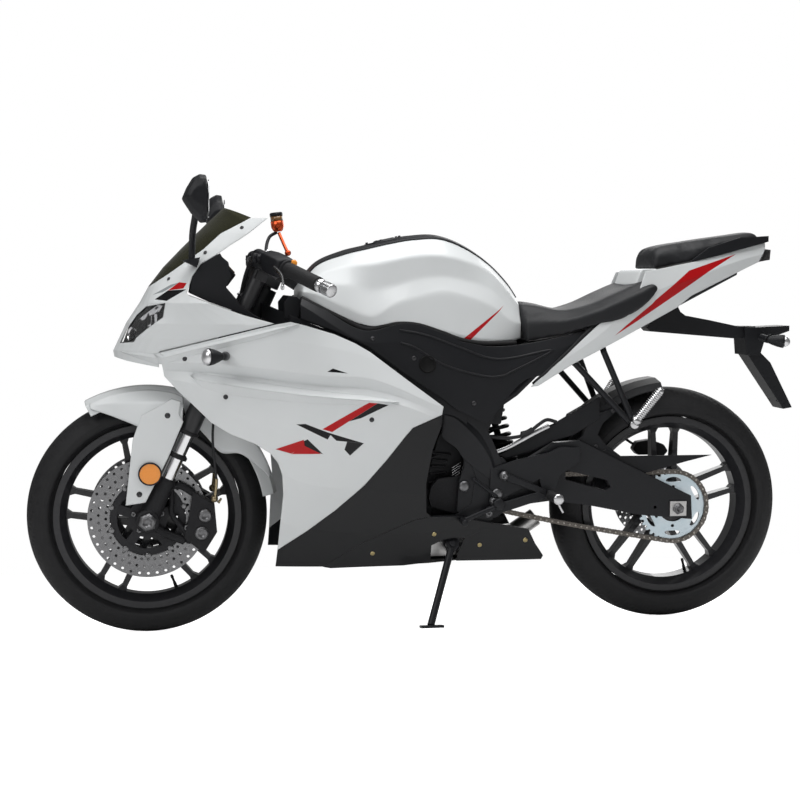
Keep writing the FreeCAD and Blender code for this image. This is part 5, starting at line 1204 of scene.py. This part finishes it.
# Rear shock: a coil spring of black wire round a plated damper.
spring_foot, spring_top = np.array([418.0, 0, 378.0]), np.array([486.0, 0, 622.0])
spring_axis = (spring_top - spring_foot) / np.linalg.norm(spring_top - spring_foot)
spring_side = np.cross(spring_axis, [0, 1, 0])
coil_count, coil_radius, coil_start, coil_length = 6.5, 30, 48, 140
coil_turn = np.linspace(0, coil_count * 2 * math.pi, 260)
coil_rise = coil_start + coil_length * coil_turn / coil_turn[-1]
coil_out = np.cos(coil_turn)[:, None] * spring_side + np.sin(coil_turn)[:, None] * np.array([0, 1, 0])
coil = spring_foot + coil_rise[:, None] * spring_axis + coil_radius * coil_out
spring = add_piece("shock_spring", tube_mesh("spring", coil, 5.2, 520, 12), "chassis", powder_black)
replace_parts(spring, "shock")
damper = [(-2, 0.01), (-2, 8), (36, 8), (37, 33), (43, 34), (44, 22), (110, 22), (112, 9), (190, 9),
          (192, 33), (199, 34), (201, 16), (236, 15), (237, 0.01)]
damper = turned_mesh("damper", damper, spring_foot, spring_axis, 40)
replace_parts(add_piece("shock_damper", damper, "chassis", cast_black), "shock")

# Pegs: the passenger's are ribbed bright alloy folded up on their stays; the rider's are
# rubber-sleeved bars with an alloy knuckle and a feeler screw under the tip.
peg_start, peg_end = np.array([137, 172, 536]), np.array([72, 192, 624])
peg_length = float(np.linalg.norm(peg_end - peg_start))
peg_profile = [(0, 0.01), (0, 13), (14, 13), (15, 9)]
peg_profile += [(a, 10.5 + 1.3 * math.cos(a * 1.1)) for a in np.linspace(16, peg_length - 10, 60)]
peg_profile += [(peg_length - 6, 9), (peg_length, 5), (peg_length, 0.01)]
knuckle_profile = [(0, 0.01), (0, 12), (20, 12), (22, 9), (22, 0.01)]
sleeve_ribs = [(4 + a, 12.5 + 0.9 * math.cos(a * 0.9)) for a in np.arange(0, 56, 0.7)]
sleeve_profile = [(0, 9), (0, 12.5)] + sleeve_ribs + [(62, 12.5), (62, 9)]
tip_profile = [(-4, 0.01), (-4, 12), (0, 14), (5, 14), (8, 9), (8, 0.01)]
feeler_line = np.array([(344, 212, 345), (336, 212, 328), (330, 212, 318)])
for side, word in two_sides:
    mirror, rider_axis = np.array([1, side, 1]), (-0.03, side, 0)
    peg = [turned_mesh("bar", peg_profile, peg_start * mirror, (peg_end - peg_start) * mirror, 28),
           turned_mesh("knuckle", knuckle_profile, np.array([135, 152, 532]) * mirror, (0, side, 0), 28)]
    peg = add_group("passenger_peg_" + word, peg, "chassis", polished_alloy)
    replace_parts(peg, "passenger_pegs")
    sleeve = turned_mesh("sleeve", sleeve_profile, np.array([347, 156, 352]) * mirror, rider_axis, 32)
    add_piece("rider_peg_sleeve_" + word, sleeve, "chassis", tyre_rubber)
    tip = [turned_mesh("knuckle", tip_profile, np.array([344, 218, 352]) * mirror, rider_axis, 24),
           tube_mesh("feeler", feeler_line * mirror, 3.4, 16)]
    add_group("rider_peg_tip_" + word, tip, "chassis", polished_alloy)

# Foot controls: gear lever and its rod on the left, brake pedal on the right, both in black
# plated steel with their toe pegs.
boss_profile = [(0, 0.01), (0, 15), (12, 15), (14, 11), (14, 0.01)]
gear = [tube_mesh("lever", [(478, 160, 330), (520, 166, 316), (562, 172, 300), (578, 174, 296)], 6, 40, 14,
                  0.7),
        tube_mesh("toe", [(576, 172, 296), (578, 192, 296), (578, 214, 296)], 8, 24, 16),
        tube_mesh("rod", [(486, 158, 352), (516, 150, 374), (545, 146, 396)], 4, 24),
        turned_mesh("boss", boss_profile, (482, 152, 332), (0, 1, 0), 28)]
pedal = [tube_mesh("pedal", [(478, -160, 330), (530, -170, 306), (586, -176, 290), (610, -178, 290)], 7, 40,
                   14, 0.7),
         tube_mesh("toe", [(606, -176, 290), (608, -196, 290), (608, -214, 290)], 9, 24, 16),
         turned_mesh("boss", boss_profile, (482, -152, 332), (0, -1, 0), 28)]
add_group("gear_lever", gear, "chassis", powder_black)
add_group("brake_pedal", pedal, "chassis", powder_black)

# Plugs and nuts: pivot plug, axle nuts and their washers, axle-block bolts, caliper bolts
# and pistons' domes, all plain turned steel.
dark_steel = add_grain(new_finish("dark_steel", (0.16, 0.16, 0.165), 0.32, 0.9), (0.1, 0.1, 0.105),
                       (0.24, 0.24, 0.245), 200, 0.1, (0.26, 0.4))
plug = [(0, 0.01), (0, 13), (2, 14), (4, 13), (6, 8), (6.6, 0.01)]
nut = [(0, 15), (3, 15), (3.2, 12), (12, 12), (13, 10.5), (13, 8), (9, 7.6), (9, 0.01)]
caliper_bolt = [(0, 0.01), (0, 7), (5, 7), (6, 5), (6, 3.4), (3, 3.2), (3, 0.01)]
piston = [(0, 0.01), (0, 17), (4, 16), (6, 12), (6, 9), (4.5, 8), (4.5, 0.01)]
fork_seal = [(0, 19), (0, 25.5), (7, 26), (9, 24), (12, 21), (12, 19)]
fork_collar = [(0, 19), (0, 27), (2, 28), (5, 28), (7, 26), (7, 19)]
fork_top = [(0, 17), (5, 17), (6, 13), (12, 12), (12, 6), (9, 5.6), (9, 0.01)]
reflector_rim = [(0, 25), (0, 28.5), (7.5, 28.5), (8, 27.5), (8, 25.5), (6.5, 25)]
chassis_turned, steering_turned = [], []
for side in (1, -1):
    chassis_turned += [turned_mesh("plug", plug, (566, 133 * side, 376), (0, side, 0), 30),
                       turned_mesh("nut", nut, (0, 129 * side, rear_axle_height), (0, side, 0), 6),
                       turned_mesh("pivot", plug, (482, 140 * side, 356), (0, side, 0), 30)]
    axle_end = (wheelbase, 128 * side, front_axle_height)
    steering_turned.append(turned_mesh("nut", np.array(nut) * [0.6, 1.5], axle_end, (0, side, 0), 6))
    for profile, up, y, out, corners in ((caliper_bolt, 84, 86, -84, 18), (caliper_bolt, 20, 86, -96, 18),
                                         (piston, 66, 92, -124, 32), (piston, 22, 92, -134, 32)):
        place = fork_point(up, y * side, out)
        steering_turned.append(turned_mesh("bolt", profile, place, (0, side, 0), corners))
add_group("axle_nuts_and_plugs", chassis_turned, "chassis", dark_steel)
add_group("caliper_bolts", steering_turned, "steering", dark_steel)
fork_rings = [turned_mesh("ring", profile, fork_point(up, leg_side * side), fork_up, 40)
              for profile, up in ((fork_seal, 170), (fork_collar, 236)) for side in (1, -1)]
add_group("fork_seals", fork_rings, "steering", tyre_rubber)
tops = [turned_mesh("cap", fork_top, fork_point(716, leg_side * side), fork_up, 6) for side in (1, -1)]
add_group("fork_caps", tops, "steering", polished_alloy)
rims = [turned_mesh("rim", reflector_rim, (1343, 124.4 * side, 418), (0, side, 0), 48) for side in (1, -1)]
add_group("reflector_rims", rims, "steering", satin_black)

# Fork sliders: cast legs that end below the bare chrome, each with its axle lug and a looped
# bracket that carries the caliper. Bronze-plated banjo bolts take the hoses.
bronze = add_grain(new_finish("bronze_plate", (0.36, 0.29, 0.17), 0.34, 0.95), (0.26, 0.2, 0.11),
                   (0.46, 0.38, 0.24), 220, 0.1, (0.28, 0.44))
slider_profile = [(-10, 0.01), (-10, 20), (-4, 24), (30, 25), (88, 23.5), (104, 24.5), (112, 24.5),
                  (115, 22), (115, 19.2)]
lug_profile = [(-28, 9), (-28, 24), (-25, 29), (25, 29), (28, 24), (28, 9)]
bracket_bars = (([(104, 78, -16), (66, 80, -34), (34, 80, -50), (8, 80, -96), (-14, 80, -116)], 6.5),
                ([(96, 78, -14), (108, 80, -40), (104, 80, -76)], 9),
                ([(-6, 80, -10), (-16, 80, -50), (-14, 80, -104)], 10))
pipe_line = np.array([(1182, 96, 400), (1183, 95, 380), (1186, 93, 352)])
banjo_profile = [(-5, 0.01), (-5, 9), (5, 9), (6, 6), (11, 6), (11, 0.01)]
bleed_profile = [(0, 0.01), (0, 4), (9, 3), (14, 2.4), (14, 0.01)]
for side, word in two_sides:
    mirror = np.array([1, side, 1])
    metal = [turned_mesh("leg", slider_profile, fork_point(0, leg_side * side), fork_up, 40),
             turned_mesh("lug", lug_profile, (wheelbase, leg_side * side, front_axle_height), (0, 1, 0),
                         40)]
    metal += [tube_mesh("arm", np.array([fork_point(*spot) for spot in bar]) * mirror, radius, 40, 14, 0.8)
              for bar, radius in bracket_bars]
    leg = add_group("fork_leg_" + word, metal, "steering", cast_black)
    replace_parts(leg, "fork_lower")
    fittings = [tube_mesh("pipe", pipe_line * mirror, 4.2, 20),
                turned_mesh("banjo", banjo_profile, np.array((1187, 92, 350)) * mirror, (0, side, 0), 24),
                turned_mesh("bleed", bleed_profile, np.array((1178, 84, 338)) * mirror, (-0.6, 0, 0.8), 14)]
    add_group("caliper_fittings_" + word, fittings, "steering", bronze)

# Fender skirts: the same white moulding, drawn down over the tyre from the arch and out to
# the fork legs, with a crease above each leg; a second skirt hangs behind the fork.
skirt_top = [(1489, 60, 584), (1440, 62, 604), (1390, 64, 615), (1340, 64, 618), (1290, 64, 611),
             (1262, 66, 600)]
skirt_crease = [(1489, 66, 579), (1440, 72, 586), (1390, 92, 590), (1340, 112, 592), (1296, 116, 590),
                (1262, 116, 584)]
skirt_low = [(1487, 70, 573), (1436, 76, 556), (1390, 104, 540), (1358, 120.5, 530), (1306, 120.5, 528),
             (1264, 120.5, 548)]
rear_top = [(1266, 67, 600), (1204, 66, 590), (1150, 66, 552), (1098, 66, 500), (1060, 66, 446),
            (1047, 66, 402)]
rear_low = [(1258, 71, 560), (1204, 72, 500), (1170, 73, 462), (1122, 73, 458), (1078, 72, 426),
            (1049, 70, 398)]
for side, word in two_sides:
    mirror = np.array([1, side, 1])
    for skirt_name, lines, rows in (("front_skirt_", (skirt_top, skirt_crease, skirt_low), 21),
                                    ("rear_skirt_", (rear_top, rear_low), 9)):
        edges = np.array([smooth_line(line, 60) for line in lines])
        grid = smooth_line(edges, rows) if len(lines) == 2 else np.concatenate(
            [np.linspace(edges[0], edges[1], 10), np.linspace(edges[1], edges[2], 11)[1:]])
        faces = sheet_faces(*grid.shape[:2])[:, ::side]
        mesh = mesh_of("skirt", stance((grid * mirror).reshape(-1, 3)), faces)
        skirt_white = white_lacquer(skirt_name + word + "_white")
        thicken(add_piece(skirt_name + word, mesh, "steering", skirt_white), 0.0025)

# Cockpit trim: black moulded walls inside the cowl, behind the screen and round the dash,
# and the instrument glass.
trim_outline = [(1246, 857), (1239, 897), (1219, 926), (1176, 952), (1152, 932), (1146, 896), (1158, 872),
                (1122, 826), (1092, 806), (1060, 790), (1121, 808), (1200, 836)]
inner_trim = [(1014, 796), (1016, 834), (1002, 852), (985, 850), (968, 836), (985, 786)]
for side, word in two_sides:
    walls = [slab_mesh("wall", trim_outline, 134 * side, 139 * side),
             slab_mesh("inner", inner_trim, 100 * side, 105 * side)]
    rounded(add_group("cockpit_wall_" + word, walls, "chassis", satin_black), 2.0)
dash_case = slab_mesh("dash_case", [(1178, 954), (1130, 902), (1152, 873), (1186, 884)], -44, 44)
rounded(add_piece("dash_case", dash_case, "chassis", satin_black), 3.0)
dash_glass = slab_mesh("dash_glass", [(1134, 907), (1172, 948), (1170.5, 949.5), (1132.5, 908.5)], -40, 40)
add_piece("dash_glass", dash_glass, "chassis", smoke)

# Creases of the side panels: a belt that runs back from the nose under the seam, and the
# raised upper edge of the lower panel. Each is moulded in one with its panel.
def skin_line(node_names, line, count, side, lift):
    """A traced line laid on the skin and lifted off it; where no ray meets the skin, the side
    distance is carried over from the neighbours."""
    places, _ = on_skin(node_names, smooth_line(line, count), side, False)
    missed = np.isnan(places[:, 1])
    places[missed, 1] = np.interp(np.flatnonzero(missed), np.flatnonzero(~missed), places[~missed, 1])
    return places + [0, side * lift, 0]


def relief_mesh(name, node_names, lines_and_lifts, count, side):
    """Flat facets between lines laid on the skin, one after another down the panel."""
    grid = np.array([skin_line(node_names, line, count, side, lift) for line, lift in lines_and_lifts])
    return mesh_of(name, stance(grid.reshape(-1, 3)), sheet_faces(*grid.shape[:2])[:, ::side])


belt = [([(1412, 712), (1371, 713), (1325, 711), (1235, 730), (1077, 769), (990, 785)], -2),
        ([(1412, 712), (1366, 705), (1312, 701), (1235, 722), (1078, 762), (990, 785)], 7),
        ([(1412, 712), (1355, 694), (1312, 686), (1235, 709), (1078, 752), (990, 785)], -2)]
lower_edge = [([(1245, 660), (1211, 663), (986, 631), (820, 611), (748, 597)], -2),
              ([(1245, 660), (1205, 646), (986, 616), (824, 602), (748, 597)], 7),
              ([(1245, 660), (1190, 622), (986, 597), (830, 591), (748, 597)], -2)]
for side, word in two_sides:
    crease_finish = add_flashes(white_lacquer("crease_white_" + word), fairing_flashes)
    for crease_name, lines_and_lifts in (("nose_belt_", belt), ("panel_edge_", lower_edge)):
        crease = relief_mesh("crease", "upper_cowl side_fairing_" + word, lines_and_lifts, 90, side)
        thicken(add_piece(crease_name + word, crease, "chassis", crease_finish, False), 0.0015, -1)

# Engine sides: cast cases with cooling fins, whose ends are machined bright, and the cover
# over the front sprocket.
case = [(617, 505), (594, 490), (567, 456), (556, 429), (565, 380), (570, 301), (650, 321), (658, 348),
        (639, 431), (628, 468)]
fins = [[(636, 454), (590, 450)], [(639, 437), (598, 434)], [(639, 421), (603, 420)],
        [(643, 400), (599, 405)],
        [(645, 379), (611, 383)], [(656, 346), (618, 364), (599, 390), (590, 396)]]
bright_ends = [[(590, 418), (569, 431)], [(590, 412), (568, 425)], [(590, 405), (568, 420)],
               [(590, 399), (568, 412)], [(590, 392), (569, 405)]]
sprocket_cover = [(652, 346), (646, 372), (630, 392), (606, 396), (572, 398), (572, 300), (646, 322)]
for side, word in two_sides:
    castings = [slab_mesh("case", case, 40 * side, 72 * side),
                slab_mesh("cover", sprocket_cover, 94 * side, 112 * side)]
    castings += [tube_mesh("fin", [(x, 76 * side, z) for x, z in line], 3.4, 24, 10) for line in fins]
    rounded(add_group("engine_side_" + word, castings, "chassis", cast_black, False), 3.0)
    ends = [tube_mesh("end", [(x, 96 * side, z) for x, z in line], 1.3, 12, 8) for line in bright_ends]
    add_group("fin_ends_" + word, ends, "chassis", polished_alloy)

# Frame sides: the swept beam with its crease, and the wide pivot plate under it, in the
# frame's black coat. A bracket of black plastic hangs from each side cover.
beam = [[(614, 574), (580, 563), (528, 529), (512, 503), (497, 473), (487, 443), (483, 399)],
        [(618, 556), (588, 545), (545, 506), (519, 474), (503, 446), (496, 425), (488, 399)],
        [(621, 534), (621, 501), (587, 474), (568, 448), (540, 424), (514, 404), (488, 384)]]
beam_sides = (120, 135, 128)
pivot_plate = [(568, 452), (561, 444), (488, 384), (499, 373), (517, 291), (584, 309), (579, 389),
               (566, 426)]
cover_bracket = [(518, 587), (460, 591), (469, 531), (480, 530), (507, 532), (524, 547)]
for side, word in two_sides:
    grid = np.array([[(x, y * side, z) for x, z in smooth_line(line, 40)]
                     for line, y in zip(beam, beam_sides)])
    sweep = mesh_of("sweep", stance(grid.reshape(-1, 3)), sheet_faces(*grid.shape[:2])[:, ::side])
    thicken(add_piece("frame_sweep_" + word, sweep, "chassis", powder_black, False), 0.006, -1)
    plate = slab_mesh("plate", pivot_plate, 117 * side, 131 * side)
    rounded(add_piece("pivot_plate_" + word, plate, "chassis", powder_black), 4.0)
    hanger = slab_mesh("hanger", cover_bracket, 104 * side, 122 * side)
    rounded(add_piece("cover_hanger_" + word, hanger, "chassis", satin_black), 4.0)

# Swingarm trim: the moulded guard along its top, a silver brake line stay with a clamped
# hose over it, and the foot-control arms with their drilled plate and bolts.
top_guard = [(476, 450), (407, 484), (373, 510), (327, 530), (270, 562), (207, 599), (206, 543), (276, 498),
             (330, 483), (384, 458), (453, 440)]
front_bracket = [(481, 452), (461, 444), (438, 410), (461, 392), (476, 411)]
upper_arm = [(474, 416), (448, 406), (356, 366), (356, 347), (379, 359), (470, 394)]
lower_arm = [(511, 324), (488, 331), (371, 364), (352, 351), (371, 340), (469, 310), (488, 297), (507, 301)]
drilled_plate = [(357, 437), (274, 466), (260, 460), (276, 436), (325, 399)]
hole_shade_profile = [(0, 8.5), (1, 8.5), (1.4, 7.6), (0.2, 7), (0.2, 0.01)]
arm_bolt = [(0, 0.01), (0, 12), (3, 12), (4, 8), (8, 7.6), (8, 4), (5, 3.6), (5, 0.01)]
rounded(add_piece("chain_guard", slab_mesh("guard", top_guard, 97, 106), "chassis", satin_black), 3.0)
for side, word in two_sides:
    swing_face = float(on_skin("swingarm", [(300, 448)], side)[0][0, 1]) * side
    arm_jobs = ((upper_arm, 142, 152), (lower_arm, 142, 152), (front_bracket, 118, 130),
                (drilled_plate, swing_face - 4, swing_face + 5))
    arms = [slab_mesh("arm", outline, inner * side, outer * side) for outline, inner, outer in arm_jobs]
    rounded(add_group("foot_arms_" + word, arms, "chassis", powder_black), 3.0)
    # Each drilled hole is a near-black disc on the plate: painted shade for the hole.
    drilled_shades = [turned_mesh("hole", hole_shade_profile, (x, (swing_face + 4.8) * side, z), (0, side, 0), 28)
               for x, z in ((317, 449), (284, 457), (299, 437))]
    add_group("drilled_hole_shades_" + word, drilled_shades, "chassis", hole_shade_black)
    heads = [turned_mesh("bolt", arm_bolt, (x, 150 * side, z), (0, side, 0), 24)
             for x, z in ((467, 403), (492, 340), (506, 311))]
    add_group("foot_arm_bolts_" + word, heads, "chassis", dark_steel)
stay = [(481, 112, 458), (447, 112, 471), (409, 112, 491), (379, 112, 507), (342, 110, 524)]
add_piece("brake_line_stay", tube_mesh("stay", stay, 6, 60, 14, 0.5), "chassis", polished_alloy)
hose_line = [(512, 112, 501), (463, 114, 495), (424, 116, 498), (398, 117, 507), (371, 116, 528),
             (348, 112, 540), (322, 108, 534)]
hose = [tube_mesh("hose", hose_line, 4.5, 80, 14),
        tube_mesh("clamp", [(415, 116, 504), (400, 117, 508), (386, 117, 516)], 7.5, 16, 12)]
add_group("clamped_hose", hose, "chassis", hose_rubber)

# Lamp reflectors: bright trays just behind the headlamp glass, each laid along it; they are reflector facets
# and also painted highlights, near-white shapes of the lamp's glints.
highlight_tray_finish = add_grain(new_finish("lamp_highlight_tray", (0.85, 0.86, 0.88), 0.2, 0.6), (0.78, 0.79, 0.82),
                        (0.92, 0.93, 0.95), 90, 0.05)
highlight_trays = [[(1370, 790), (1343, 812), (1321, 828), (1310, 826), (1318, 812), (1358, 790)],
         [(1349, 801), (1336, 801), (1338, 776), (1347, 776)],
         [(1330, 806), (1322, 806), (1324, 784), (1329, 784)]]
for side, word in two_sides:
    pieces = []
    for highlight_tray in highlight_trays:
        corners, _ = on_skin("headlamps upper_cowl", highlight_tray, side)
        pieces.append(loft_mesh("highlight_tray", [corners + [0, side * 0.3, 0], corners - [0, side * 1.6, 0]]))
    add_group("lamp_highlight_trays_" + word, pieces, "chassis", highlight_tray_finish, False)

# Rear caliper: a small cast body astride the disc with its bridge bolts, fed by a hose that
# runs forward along the swingarm.
caliper_outline = [(58, 440), (46, 460), (8, 466), (-30, 452), (-42, 434), (-30, 420), (6, 424), (44, 424)]
caliper = slab_mesh("caliper", caliper_outline, -70, -104)
caliper = rounded(add_piece("rear_caliper_body", caliper, "chassis", cast_black), 5.0)
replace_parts(caliper, "rear_caliper")
bridge_bolt = [(0, 0.01), (0, 6), (4, 6), (5, 4), (5, 0.01)]
bridge_bolts = [turned_mesh("bolt", bridge_bolt, (x, -104, 440), (0, -1, 0), 6) for x in (34, -18)]
add_group("rear_caliper_bolts", bridge_bolts, "chassis", dark_steel)
rear_hose = [(50, -98, 452), (84, -108, 470), (150, -112, 472), (240, -112, 470)]
add_piece("rear_brake_hose", tube_mesh("hose", rear_hose, 3.6, 60, 12), "chassis", hose_rubber)

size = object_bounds()
